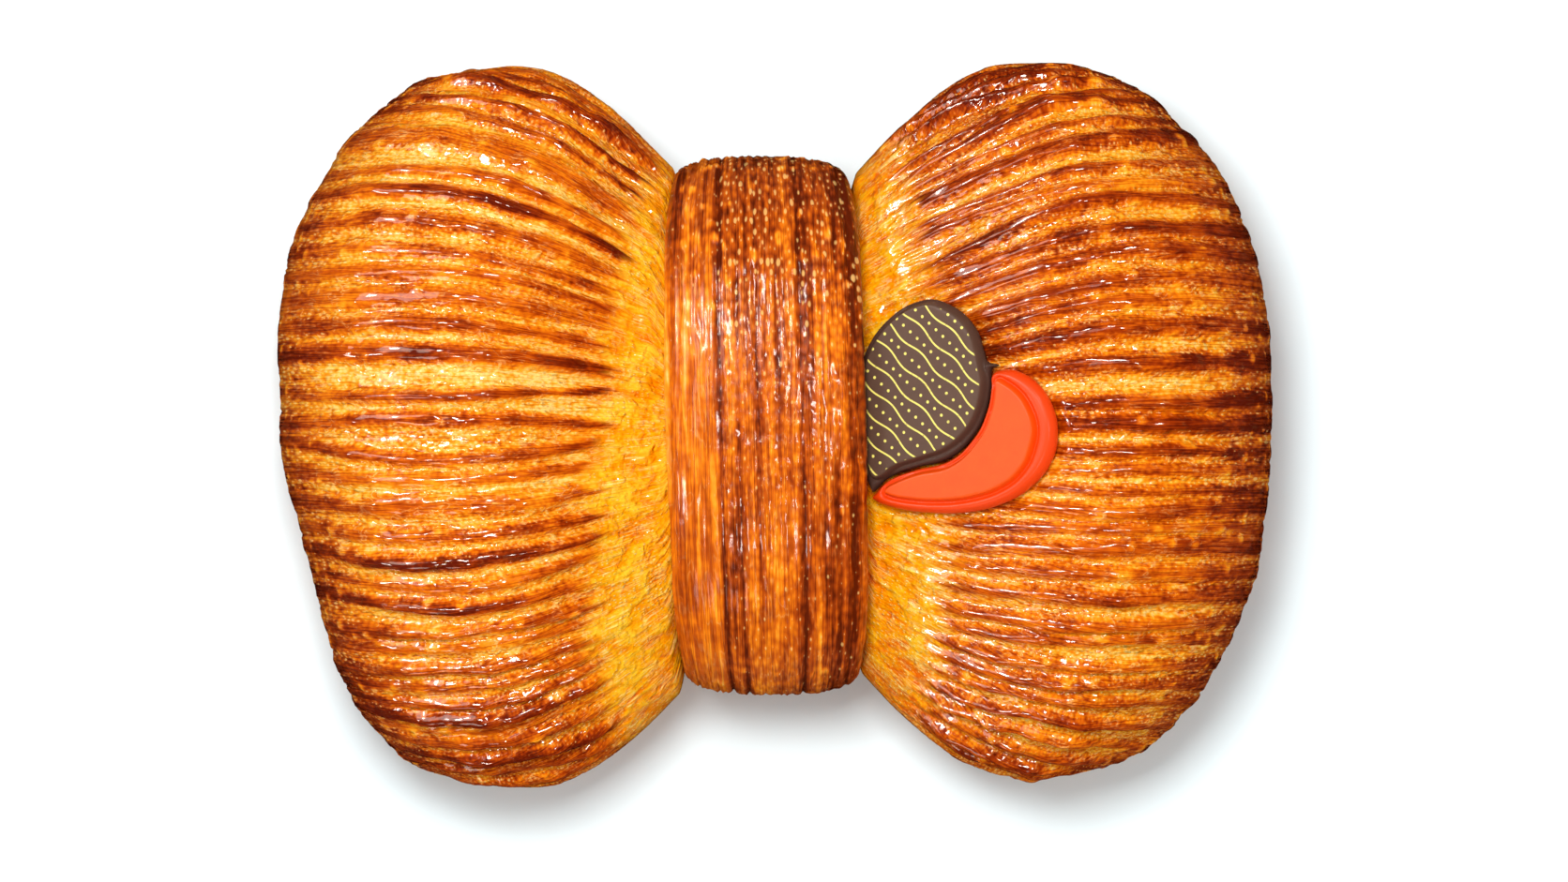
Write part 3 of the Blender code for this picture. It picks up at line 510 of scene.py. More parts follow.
def build_wing(side, seed):
    sign = WINGS[side][0]
    nt, na, step = 178, 361, 2
    # even spacing along the middle line and across at mid wing
    fine_t = np.linspace(0, 1, 4000)
    p = wing_point(side, fine_t, np.zeros(4000), False)
    s = np.concatenate([[0], np.cumsum(np.linalg.norm(np.diff(p, axis=0),
                                                      axis=1))])
    # rows are sparse where the strip covers the dough
    rows = np.concatenate([np.linspace(0, 3.5, 4)[:-1],
                           np.linspace(3.5, s[-1], nt - 3)])
    T = np.interp(rows, s, fine_t)
    fine_a = np.linspace(math.pi / 2, -math.pi / 2, 6000)
    p = wing_point(side, np.full(6000, 0.6), fine_a, False)
    s = np.concatenate([[0], np.cumsum(np.linalg.norm(np.diff(p, axis=0),
                                                      axis=1))])
    A = np.interp(np.linspace(0, s[-1], na), s, fine_a)

    tg, ag = T[:, None], A[None, :]
    top = wing_point(side, tg, ag, False)
    Ab = A[::step]
    nb = len(Ab)
    low = wing_point(side, tg, Ab[None, :], True)

    ids_top = np.arange(nt * na).reshape(nt, na)
    base = nt * na
    ids_low = np.full((nt, nb), -1)
    inner = np.arange((nt - 1) * (nb - 2)).reshape(nt - 1, nb - 2) + base
    ids_low[:nt - 1, 1:nb - 1] = inner
    ids_low[:, 0] = ids_top[:, 0]
    ids_low[:, -1] = ids_top[:, -1]
    ids_low[nt - 1, :] = ids_top[nt - 1, ::step]
    co = np.concatenate([top.reshape(-1, 3),
                         low[:nt - 1, 1:nb - 1].reshape(-1, 3)])
    # the ring in the middle plane, hidden in the strip
    ring = np.concatenate([ids_top[0], ids_low[0, 1:-1][::-1]])
    cap = co[ring].copy()
    cap[:, 0] = STRIP_X + sign * 0.01
    ids_cap = np.arange(len(ring)) + len(co)
    co = np.concatenate([co, cap])

    i, j = np.meshgrid(np.arange(nt - 1), np.arange(na - 1), indexing="ij")
    q_top = np.stack([ids_top[i, j], ids_top[i + 1, j], ids_top[i + 1, j + 1],
                      ids_top[i, j + 1]], -1).reshape(-1, 4)
    i, j = np.meshgrid(np.arange(nt - 2), np.arange(nb - 1), indexing="ij")
    q_low = np.stack([ids_low[i, j], ids_low[i, j + 1],
                      ids_low[i + 1, j + 1], ids_low[i + 1, j]],
                     -1).reshape(-1, 4)
    tri = []
    for c in range(nb - 1):
        b0, b1 = ids_low[nt - 2, c], ids_low[nt - 2, c + 1]
        r = [ids_top[nt - 1, step * c + k] for k in range(step + 1)]
        tri += [(b0, r[1], r[0]), (b0, b1, r[1]), (b1, r[2], r[1])]
    tri = np.array(tri)
    nxt = np.roll(np.arange(len(ring)), -1)
    q_cap = np.stack([ring, ring[nxt], ids_cap[nxt], ids_cap], -1)
    gon = ids_cap[::-1]
    quads = np.concatenate([q_top, q_low, q_cap])
    # orientation from the signed volume
    t3 = np.concatenate([split(quads), tri,
                         np.stack([np.full(len(gon) - 2, gon[0]), gon[1:-1],
                                   gon[2:]], -1)])
    vol = np.einsum("ij,ij->i", co[t3[:, 0]],
                    np.cross(co[t3[:, 1]], co[t3[:, 2]])).sum() / 6
    flip = vol < 0
    normals = vertex_normals(co, t3) * (-1 if flip else 1)

    up = dress(side, seed, tg, ag, top, False)
    down = dress(side, seed, tg, Ab[None, :], low, True)

    def join(top_field, low_field):
        cap_field = np.zeros(len(ring))
        return np.concatenate([top_field.ravel(),
                               low_field[:nt - 1, 1:nb - 1].ravel(),
                               cap_field])

    fields = {key: join(up[key], down[key]) for key in up}
    moved = co + normals * fields.pop("lift")[:, None]
    keep_flat = co[:, 2] < 1e-6
    moved[keep_flat, 2] = 0.0
    moved[:, 2] = np.maximum(moved[:, 2], 0.0)
    if side == "right":
        d = np.hypot(moved[:, 0] - HEART_AT[0], moved[:, 1] - HEART_AT[1])
        seat = heart_plane(moved[:, 0]) - HEART_SEAT
        near = (d < 23.0) & (moved[:, 2] > 30)
        # the dough is pressed flat under the heart only, and eases out round it
        plan = moved[near, :2] - np.array(HEART_AT)
        apart = np.full(len(plan), 1e9)
        for outline in (DARK_EDGE, RED_EDGE):
            away, within = to_edge(plan, closed_curve(outline, 4))
            apart = np.minimum(apart, np.where(within, 0.0, away))
        room = seat[near] + 4.0 * smooth((apart - 0.4) / 4.5)
        moved[near, 2] = np.minimum(moved[near, 2], room)

    # stay inside the CAD box at the two long edges and the crown
    y_room, z_room = 54.25, 54.45
    over = np.abs(moved[:, 1]) - (y_room - 0.9)
    soft = np.sign(moved[:, 1]) * (y_room - 0.9 + 0.9 * np.tanh(over / 0.9))
    moved[:, 1] = np.where(over > 0, soft, moved[:, 1])
    over = moved[:, 2] - (z_room - 1.0)
    moved[:, 2] = np.where(over > 0, z_room - 1.0 + np.tanh(over),
                           moved[:, 2])
    over = np.abs(moved[:, 0]) - 73.7
    soft = np.sign(moved[:, 0]) * (73.7 + 0.9 * np.tanh(over / 0.9))
    moved[:, 0] = np.where(over > 0, soft, moved[:, 0])

    # ---- one unwrapped layout: top above, underside below, cap in a corner
    u = np.linspace(0.012, 0.988, na)
    v = np.linspace(0.30, 0.988, nt)
    uv_top = np.stack(np.broadcast_arrays(u[None, :], v[:, None]), -1)
    vb = np.linspace(0.012, 0.27, nt)
    ub = u[::step]
    uv_low = np.stack(np.broadcast_arrays(ub[None, :], vb[:, None]), -1)
    i, j = np.meshgrid(np.arange(nt - 1), np.arange(na - 1), indexing="ij")
    uvs = [np.stack([uv_top[i, j], uv_top[i + 1, j], uv_top[i + 1, j + 1],
                     uv_top[i, j + 1]], -2).reshape(-1, 2)]
    i, j = np.meshgrid(np.arange(nt - 2), np.arange(nb - 1), indexing="ij")
    uvs.append(np.stack([uv_low[i, j], uv_low[i, j + 1],
                         uv_low[i + 1, j + 1], uv_low[i + 1, j]],
                        -2).reshape(-1, 2))
    cap_uv = np.stack([0.002 + 0.006 * (co[ids_cap, 1] + 40) / 80,
                       0.002 + 0.006 * co[ids_cap, 2] / 50], -1)
    cap_in = cap_uv * 0.6 + 0.002
    uvs.append(np.stack([cap_uv, cap_uv[nxt], cap_in[nxt], cap_in],
                        -2).reshape(-1, 2))
    t_uv = []
    for c in range(nb - 1):
        b0, b1 = uv_low[nt - 2, c], uv_low[nt - 2, c + 1]
        r = [np.array([u[step * c + k], vb[-1]]) for k in range(step + 1)]
        t_uv += [b0, r[1], r[0], b0, b1, r[1], b1, r[2], r[1]]
    uvs.append(np.array(t_uv))
    uvs.append(cap_in[::-1])
    uv = np.concatenate(uvs)
    if flip:
        # reverse every face and its corners together
        nq, ntri = len(quads), len(tri)
        quads, tri, gon = quads[:, ::-1], tri[:, ::-1], gon[::-1]
        a, b = uv[:nq * 4].reshape(nq, 4, 2), uv[nq * 4:nq * 4 + ntri * 3]
        b = b.reshape(ntri, 3, 2)
        uv = np.concatenate([a[:, ::-1].reshape(-1, 2),
                             b[:, ::-1].reshape(-1, 2),
                             uv[nq * 4 + ntri * 3:][::-1]])
    obj = make_mesh("wing_" + side, moved + SHIFT, quads, tri, [gon], uv)
    al, ac = fields.pop("along"), fields.pop("across")
    for key, values in fields.items():
        give(obj, key, values)
    give(obj, "strand", np.stack([al, ac, np.full(len(al), seed * 1.0)], -1))
    return obj


# ------------------------------------------------------------ the strip
def waist_curve(n):
    fine = []
    for under in (False, True):
        a = math.pi / 2 * np.cos(math.pi * np.arange(1500) / 1500)
        p = wing_point("left", np.zeros(1500), -a if under else a, under)
        fine.append(p[:, 1:])
    fine = np.concatenate(fine)
    nxt, prv = np.roll(fine, -1, axis=0), np.roll(fine, 1, axis=0)
    tan = nxt - prv
    tan /= np.linalg.norm(tan, axis=1)[:, None]
    out = np.stack([-tan[:, 1], tan[:, 0]], axis=1)
    if np.sum((fine - fine.mean(axis=0)) * out) < 0:
        out = -out
    length = np.linalg.norm(nxt - fine, axis=1)
    turn = np.arccos(np.clip(np.sum(out * np.roll(out, -1, axis=0), axis=1),
                             -1, 1))
    seg = 0.62 * length / length.sum() + 0.38 * turn / turn.sum()
    s = np.concatenate([[0], np.cumsum(seg)])
    run = np.concatenate([[0], np.cumsum(length)])
    top = s[1500]
    n_top = int(n * 0.70)
    want = np.concatenate([np.linspace(0, top, n_top, endpoint=False),
                           np.linspace(top, s[-1], n - n_top, endpoint=False)])
    closed = np.concatenate([fine, fine[:1]])
    closed_n = np.concatenate([out, out[:1]])
    pts = np.stack([np.interp(want, s, closed[:, k]) for k in range(2)], -1)
    nrm = np.stack([np.interp(want, s, closed_n[:, k]) for k in range(2)], -1)
    nrm /= np.linalg.norm(nrm, axis=1)[:, None]
    return pts, nrm, np.interp(want, s, run)


def build_strip(seed):
    n_ring, n_out, n_in = 720, 112, 12
    pts, nrm, run = waist_curve(n_ring)
    y, z = pts[:, 0], pts[:, 1]
    k = smooth(np.clip((z - SEAM_Z) / (WAIST_TOP - SEAM_Z), -1, 1))
    m = smooth(np.clip((SEAM_Z - z) / (SEAM_Z - WAIST_BOTTOM), 0, 1))
    wide = STRIP_SIDE[0] + (STRIP_TOP[0] - STRIP_SIDE[0]) * k \
        + (STRIP_UNDER[0] - STRIP_SIDE[0]) * m
    thick = STRIP_SIDE[1] + (STRIP_TOP[1] - STRIP_SIDE[1]) * k \
        + (STRIP_UNDER[1] - STRIP_SIDE[1]) * m

    # section: over the outside from right to left, then back inside
    fw = np.linspace(1, -1, 4001)
    fh = 0.56 + 0.44 * np.sqrt(np.maximum(1 - np.abs(fw) ** 2.6, 0))
    lower_w = np.array([1.0, 0.985, 0.95, 0.90, 0.82, 0.72, 0.62])
    lower_h = np.array([0.56, 0.46, 0.34, 0.235, 0.12, 0.04, 0.0])
    line_w = np.concatenate([lower_w[::-1], fw[1:-1], -lower_w])
    line_h = np.concatenate([lower_h[::-1], fh[1:-1], lower_h])
    s = np.concatenate([[0], np.cumsum(np.hypot(np.diff(line_w) * 14.7,
                                                np.diff(line_h) * 12.0))])
    grid = np.linspace(0, s[-1], n_out)
    W = np.interp(grid, s, line_w)
    Hh = np.interp(grid, s, line_h)
    outer = len(W)
    W = np.concatenate([W, np.linspace(-0.62, 0.62, n_in + 2)[1:-1]])
    Hh = np.concatenate([Hh, np.zeros(n_in)])
    nsec = len(W)

    face = smooth((Hh - 0.30) / 0.25)          # 1 on the outer face
    upright = np.clip(nrm[:, 1], -1, 1)
    yy = y + nrm[:, 0] * thick * 0.8           # Y of the outer face
    Y = np.clip(yy, -41, 41)
    top_side = z > SEAM_Z - 6
    R = run[:, None]
    w = W[None, :] * np.ones((n_ring, 1))
    big, fine, third = Noise(seed), Noise(seed + 1), Noise(seed + 2)
    Yg = Y[:, None] * np.ones((1, nsec))
    # grooves wander a little along the strip
    wv = w + 0.020 * big(R * 0.06, w * 1.5) + 0.010 * big(R * 0.2, w * 4)

    cuts = ((-0.86, 0.25, 0.016), (-0.74, 0.25, 0.016), (-0.61, 0.30, 0.02),
            (-0.46, 0.95, 0.030), (-0.37, 0.22, 0.018), (-0.27, 0.42, 0.026),
            (-0.18, 0.20, 0.018), (-0.08, 0.40, 0.024), (0.02, 0.20, 0.018),
            (0.13, 0.42, 0.026), (0.25, 0.22, 0.020), (0.37, 0.50, 0.026),
            (0.48, 0.20, 0.018), (0.58, 0.42, 0.024), (0.66, 0.20, 0.016),
            (0.73, 0.36, 0.020), (0.87, 0.34, 0.020))
    lift = np.zeros((n_ring, nsec))
    groove = np.zeros((n_ring, nsec))
    for c, (at, deep, half) in enumerate(cuts):
        drift = at + 0.012 * big(R * 0.09 + 9 * c, 3.0 * c) \
            + 0.006 * big(R * 0.31 + 5 * c, 7.0 * c)
        g = bump((w - drift) / half, 1.7)
        amount = deep * (0.75 + 0.5 * big(R * 0.07 + c, 50.0 + c))
        groove = np.maximum(groove, g * np.clip(amount, 0, 1.3))
        lift = lift - g * amount
    left = smooth((-0.47 - wv) / 0.03)
    lines = np.sin(2 * math.pi * (wv + 1) * 14.7 / 0.72
                   + 1.2 * big(R * 0.05, w * 6))
    lift = lift + left * 0.12 * lines
    fibres = fine.ridged(R * 0.045, wv * 14.7 * 1.05, 3)
    wrink = third.ridged(R * 0.30, wv * 14.7 * 0.75, 2)
    centre = np.exp(-(Yg / 20.0) ** 2)
    lift = lift + 0.15 * fibres + 0.12 * wrink * (1 - 0.8 * left) \
        * (0.30 + 0.70 * centre)
    lift = lift * face
    co3 = np.zeros((n_ring, nsec, 3))
    off = STRIP_GAP + (thick[:, None] - STRIP_GAP) * Hh[None, :]
    base_y = pts[:, 0:1] + nrm[:, 0:1] * off
    base_z = pts[:, 1:2] + nrm[:, 1:2] * off
    co3[..., 0] = STRIP_X + W[None, :] * wide[:, None] \
        - STRIP_SKEW * base_y / 40.0
    co3[..., 1] = base_y
    co3[..., 2] = base_z

    rng = np.random.RandomState(seed + 9)
    blobs = np.zeros_like(lift)
    dense = smooth((Yg - 6) / 18) + 0.10
    pick = dense * face * (np.abs(w) < 0.9) * (z[:, None] > 8)
    marks = scatter(co3, blobs, rng, 70, (0.40, 0.80), np.clip(pick, 0, 1),
                    (1.3, 2.4), 0.34)
    lift = lift + blobs

    ids = np.arange(n_ring * nsec).reshape(n_ring, nsec)
    i, j = np.meshgrid(np.arange(n_ring), np.arange(nsec), indexing="ij")
    i2, j2 = (i + 1) % n_ring, (j + 1) % nsec
    quads = np.stack([ids[i, j], ids[i2, j], ids[i2, j2], ids[i, j2]],
                     -1).reshape(-1, 4)
    co = co3.reshape(-1, 3)
    t3 = split(quads)
    vol = np.einsum("ij,ij->i", co[t3[:, 0]],
                    np.cross(co[t3[:, 1]], co[t3[:, 2]])).sum()
    flip = vol < 0
    normals = vertex_normals(co, t3) * (-1 if flip else 1)
    moved = co + normals * lift.reshape(-1)[:, None]
    moved[:, 2] = np.maximum(moved[:, 2], 0.0)

    # browning: dark over the far end, streaked in the middle
    tone = 0.53 + 0.17 * smooth((Yg - 10) / 26) \
        + 0.11 * smooth((-Yg - 4) / 14)
    tone = tone - 0.12 * left * (1 - 0.8 * smooth((Yg - 14) / 14))
    streak = big(R * 0.022, wv * 14.7 * 0.42) * 0.22 \
        + fine(R * 0.045, wv * 14.7 * 1.0) * 0.20
    tone = tone + streak + 0.16 * smooth((w - 0.70) / 0.2)
    # a golden flank low on the right and a warm middle
    tone = tone - 0.14 * bump((w - 0.10) / 0.22, 2) * smooth((-Yg - 4) / 14)
    tone = tone + 0.50 * np.clip(groove * 1.5, 0, 1) - 0.05 * fibres
    tone = tone * (1 - 0.75 * marks) + 0.10 * marks
    tone = np.where(face > 0.02, tone, 0.35)
    under = (1 - smooth(z / 12.0))[:, None] * np.ones_like(tone)
    tone = tone + (0.6 - tone) * under * 0.8

    uu = np.linspace(0.01, 0.99, n_ring + 1)
    vv = np.linspace(0.01, 0.99, nsec + 1)
    uv = np.stack([np.stack([uu[i], vv[j]], -1), np.stack([uu[i + 1], vv[j]], -1),
                   np.stack([uu[i + 1], vv[j + 1]], -1),
                   np.stack([uu[i], vv[j + 1]], -1)], -2)
    uv = uv.reshape(len(quads), 4, 2)
    if flip:
        quads, uv = quads[:, ::-1], uv[:, ::-1]
    obj = make_mesh("strip_crust", moved + SHIFT, quads, [], [],
                    uv.reshape(-1, 2))
    give(obj, "brown", np.clip(tone, 0, 1).ravel())
    give(obj, "pale", np.zeros(len(co)))
    give(obj, "crest", (np.clip(third(R * 0.06, w * 3) * 1.5 + 0.3, 0, 1)
                        * np.ones_like(tone)).ravel())
    give(obj, "flat", (moved[:, 2] < 0.05).astype(float))
    give(obj, "rim", np.zeros(len(co)))
    give(obj, "dip_shade", np.full(len(co), 0.5))
    give(obj, "dots", np.clip(0.62 + 0.38 * smooth((Yg - 2) / 20)
                              - 0.4 * left, 0, 1).ravel())
    give(obj, "strand", np.stack([(R * np.ones_like(w)).ravel(),
                                  (w * 14.7).ravel(),
                                  np.full(len(co), seed * 1.0)], -1))
    return obj


# ------------------------------------------------------------ the heart
def closed_curve(points, per=10):
    """Points along a smooth closed curve; a third entry marks a corner."""
    n = len(points)
    p = np.array([q[:2] for q in points], float)
    corner = [len(q) > 2 for q in points]
    tang = np.zeros_like(p)
    for k in range(n):
        if not corner[k]:
            d = p[(k + 1) % n] - p[k - 1]
            tang[k] = d / max(np.linalg.norm(d), 1e-9)
    out = []
    for k in range(n):
        a, b = p[k], p[(k + 1) % n]
        length = np.linalg.norm(b - a)
        ta = tang[k] if not corner[k] else (b - a) / length
        tb = tang[(k + 1) % n] if not corner[(k + 1) % n] else (b - a) / length
        c1, c2 = a + ta * length / 2.6, b - tb * length / 2.6
        for f in np.arange(per) / per:
            out.append((1 - f) ** 3 * a + 3 * (1 - f) ** 2 * f * c1
                       + 3 * (1 - f) * f * f * c2 + f ** 3 * b)
    return np.array(out)


def to_edge(points, line):
    """Distance of each point to a closed polyline, and whether inside."""
    a, b = line, np.roll(line, -1, axis=0)
    best = np.full(len(points), 1e9)
    inside = np.zeros(len(points), bool)
    for k in range(len(a)):
        d = b[k] - a[k]
        f = np.clip(((points - a[k]) @ d) / max(d @ d, 1e-12), 0, 1)
        q = points - (a[k] + f[:, None] * d)
        best = np.minimum(best, np.hypot(q[:, 0], q[:, 1]))
        crosses = (a[k][1] > points[:, 1]) != (b[k][1] > points[:, 1])
        xs = a[k][0] + (points[:, 1] - a[k][1]) * d[0] / (
            d[1] if abs(d[1]) > 1e-12 else 1e-12)
        inside ^= crosses & (points[:, 0] < xs)
    return best, inside


def heart_half(name, edge, face, groove, dome):
    tilt = math.radians(HEART_TILT)

    def flatten(points, high):
        q = np.array(points, float)
        q[:, 0] = (q[:, 0] + high * math.sin(tilt)) / math.cos(tilt)
        return q

    outline = flatten(closed_curve(edge, 12), 0.5 * HEART_BASE)
    tan = np.roll(outline, -1, axis=0) - np.roll(outline, 1, axis=0)
    tan /= np.maximum(np.linalg.norm(tan, axis=1), 1e-9)[:, None]
    area2 = np.sum(outline[:, 0] * np.roll(outline[:, 1], -1)
                   - np.roll(outline[:, 0], -1) * outline[:, 1])
    outline = outline + np.stack([tan[:, 1], -tan[:, 0]], -1) \
        * (0.10 if area2 > 0 else -0.10)
    inner = flatten(closed_curve(face, 12), HEART_BASE)
    lo, hi = outline.min(axis=0), outline.max(axis=0)
    step = 0.30
    gx, gy = np.meshgrid(np.arange(lo[0], hi[0], step),
                         np.arange(lo[1], hi[1], step))
    gx = gx + (np.arange(gx.shape[0]) % 2)[:, None] * step / 2
    cloud = np.stack([gx.ravel(), gy.ravel()], -1)
    # denser rows beside the edge and the step of the raised face
    normals = []
    for line in (outline, inner):
        tan = np.roll(line, -1, axis=0) - np.roll(line, 1, axis=0)
        tan /= np.linalg.norm(tan, axis=1)[:, None]
        normals.append(np.stack([-tan[:, 1], tan[:, 0]], -1))
    rows = []
    for line, nn, depths in ((outline, normals[0], (0.06, 0.16, 0.30, 0.48, 0.7)),
                             (inner, normals[1], (-0.45, -0.3, -0.2, -0.1, 0,
                                                  0.1, 0.2, 0.3, 0.45))):
        for d in depths:
            rows.append(line + nn * d)
            rows.append(line - nn * d)
    cloud_edge, _ = to_edge(cloud, outline)
    cloud_face, _ = to_edge(cloud, inner)
    cloud = cloud[(cloud_edge > 0.8) & (cloud_face > 0.5)]
    cloud = np.concatenate([cloud] + rows)
    d, inside = to_edge(cloud, outline)
    cloud = cloud[inside & (d > 0.04)]
    # thin out points that nearly coincide
    key = np.round(cloud / 0.07).astype(np.int64)
    _, first = np.unique(key[:, 0] * 100003 + key[:, 1], return_index=True)
    cloud = cloud[np.sort(first)]
    pts = np.concatenate([outline, cloud])
    n_edge = len(outline)
    loop = [(k, (k + 1) % n_edge) for k in range(n_edge)]
    out = geometry.delaunay_2d_cdt([Vector(q) for q in pts], loop, [], 1, 1e-6)
    verts = np.array([[q[0], q[1]] for q in out[0]])
    faces = np.array([f for f in out[2] if len(f) == 3])
    d_edge, _ = to_edge(verts, outline)
    d_edge[d_edge < 1e-5] = 0.0
    d_face, in_face = to_edge(verts, inner)
    d_face = np.where(in_face, d_face, -d_face)
    mid = 0.5 * HEART_BASE
    r = 1.0
    round_ = np.sqrt(np.maximum(r * r - np.maximum(r - d_edge, 0) ** 2, 0)) / r
    top = mid + mid * round_
    if dome:      # a rounded bead between the edge and the raised face
        band = np.clip(d_edge / np.maximum(d_edge - d_face, 1e-3), 0, 1)
        top = top + np.where(in_face, 0.0,
                             0.45 * np.sin(math.pi * band) ** 0.8) * round_
    raised = smooth((d_face + 0.28) / 0.56)
    top = top + (HEART_STEP - 0.08) * raised
    top = top - groove * bump((d_face + 0.36) / 0.20, 2.0) * round_
    bottom = mid - mid * round_
    on_edge = d_edge == 0.0
    nv = len(verts)
    low_id = np.full(nv, -1)
    low_id[on_edge] = np.arange(nv)[on_edge]
    free = np.where(~on_edge)[0]
    low_id[free] = nv + np.arange(len(free))
    co = np.concatenate([np.column_stack([verts, top]),
                         np.column_stack([verts[free], bottom[free]])])
    tri = np.concatenate([faces, low_id[faces][:, ::-1]])
    vol = np.einsum("ij,ij->i", co[tri[:, 0]],
                    np.cross(co[tri[:, 1]], co[tri[:, 2]])).sum()
    if vol < 0:
        tri = tri[:, ::-1]
    local = co.copy()
    c, s = math.cos(tilt), math.sin(tilt)
    placed = np.stack([HEART_AT[0] + co[:, 0] * c - co[:, 2] * s,
                       HEART_AT[1] + co[:, 1],
                       HEART_Z + co[:, 0] * s + co[:, 2] * c], -1)
    # layout: the top on the left half, the underside on the right
    size = max(hi - lo) * 1.04
    uv_v = (local[:, :2] - lo) / size
    top_uv = np.stack([0.01 + 0.48 * uv_v[:, 0], 0.01 + 0.48 * uv_v[:, 1]], -1)
    corner_uv = top_uv[tri.ravel()].copy()
    corner_uv[len(faces) * 3:, 0] += 0.5
    obj = make_mesh(name, placed + SHIFT, [], tri, [], corner_uv)
    give(obj, "plane", local)
    full = np.concatenate([d_face, d_face[free] * 0 - 5])
    give(obj, "face", full)
    return obj


# ------------------------------------------------------------ materials
class Graph:
    """Small helper for wiring shader nodes."""

    def __init__(self, name):
        self.mat = bpy.data.materials.new(name)
        self.mat.use_nodes = True
        self.t = self.mat.node_tree
        self.bsdf = self.t.nodes["Principled BSDF"]

    def new(self, kind, **props):
        n = self.t.nodes.new(kind)
        for k, v in props.items():
            setattr(n, k, v)
        return n

    def link(self, a, b):
        self.t.links.new(a, b)

    def attr(self, name, vector=False):
        n = self.new("ShaderNodeAttribute")
        n.attribute_name = name
        return n.outputs["Vector" if vector else "Fac"]

    def math(self, op, a, b=0.0, c=0.0, clamp=False):
        n = self.new("ShaderNodeMath", operation=op, use_clamp=clamp)
        for k, v in enumerate((a, b, c)):
            if hasattr(v, "is_linked"):
                self.link(v, n.inputs[k])
            else:
                n.inputs[k].default_value = v
        return n.outputs[0]

    def vec(self, op, a, b):
        n = self.new("ShaderNodeVectorMath", operation=op)
        for k, v in enumerate((a, b)):
            if hasattr(v, "is_linked"):
                self.link(v, n.inputs[k])
            else:
                n.inputs[k].default_value = v
        return n.outputs[0]

    def noise(self, vector, scale, detail=2.0, rough=0.5, distortion=0.0):
        n = self.new("ShaderNodeTexNoise")
        n.inputs["Scale"].default_value = scale
        n.inputs["Detail"].default_value = detail
        n.inputs["Roughness"].default_value = rough
        n.inputs["Distortion"].default_value = distortion
        self.link(vector, n.inputs["Vector"])
        return n.outputs["Fac"]

    def voronoi(self, vector, scale, feature="F1"):
        n = self.new("ShaderNodeTexVoronoi", feature=feature)
        n.inputs["Scale"].default_value = scale
        self.link(vector, n.inputs["Vector"])
        return n.outputs["Distance"]

    def ramp(self, fac, stops):
        n = self.new("ShaderNodeValToRGB")
        e = n.color_ramp.elements
        while len(e) > 1:
            e.remove(e[0])
        e[0].position, e[0].color = stops[0][0], (*srgb(stops[0][1]), 1)
        for at, colour in stops[1:]:
            k = e.new(at)
            k.color = (*srgb(colour), 1)
        self.link(fac, n.inputs["Fac"])
        return n.outputs["Color"]

    def mix(self, fac, a, b, blend="MIX"):
        n = self.new("ShaderNodeMix", data_type="RGBA", blend_type=blend)
        for v, sock in ((fac, n.inputs[0]), (a, n.inputs[6]), (b, n.inputs[7])):
            if hasattr(v, "is_linked"):
                self.link(v, sock)
            elif isinstance(v, tuple):
                sock.default_value = (*v, 1.0)
            else:
                sock.default_value = v
        return n.outputs[2]

    def mixf(self, fac, a, b):
        n = self.new("ShaderNodeMix", data_type="FLOAT")
        self.link(fac, n.inputs[0])
        self.link(a, n.inputs[2])
        self.link(b, n.inputs[3])
        return n.outputs[0]

    def range(self, value, a, b, c=0.0, d=1.0):
        n = self.new("ShaderNodeMapRange")
        n.clamp = True
        self.link(value, n.inputs["Value"])
        for k, v in (("From Min", a), ("From Max", b), ("To Min", c),
                     ("To Max", d)):
            n.inputs[k].default_value = v
        return n.outputs[0]

    def bump(self, height, strength, distance, normal=None):
        n = self.new("ShaderNodeBump")
        n.inputs["Strength"].default_value = strength
        n.inputs["Distance"].default_value = distance
        self.link(height, n.inputs["Height"])
        if normal is not None:
            self.link(normal, n.inputs["Normal"])
        return n.outputs["Normal"]


def srgb(c):
    """0..255 display colour to linear."""
    out = []
    for v in c:
        v = v / 255.0
        out.append(v / 12.92 if v <= 0.04045 else ((v + 0.055) / 1.055) ** 2.4)
    return tuple(out)


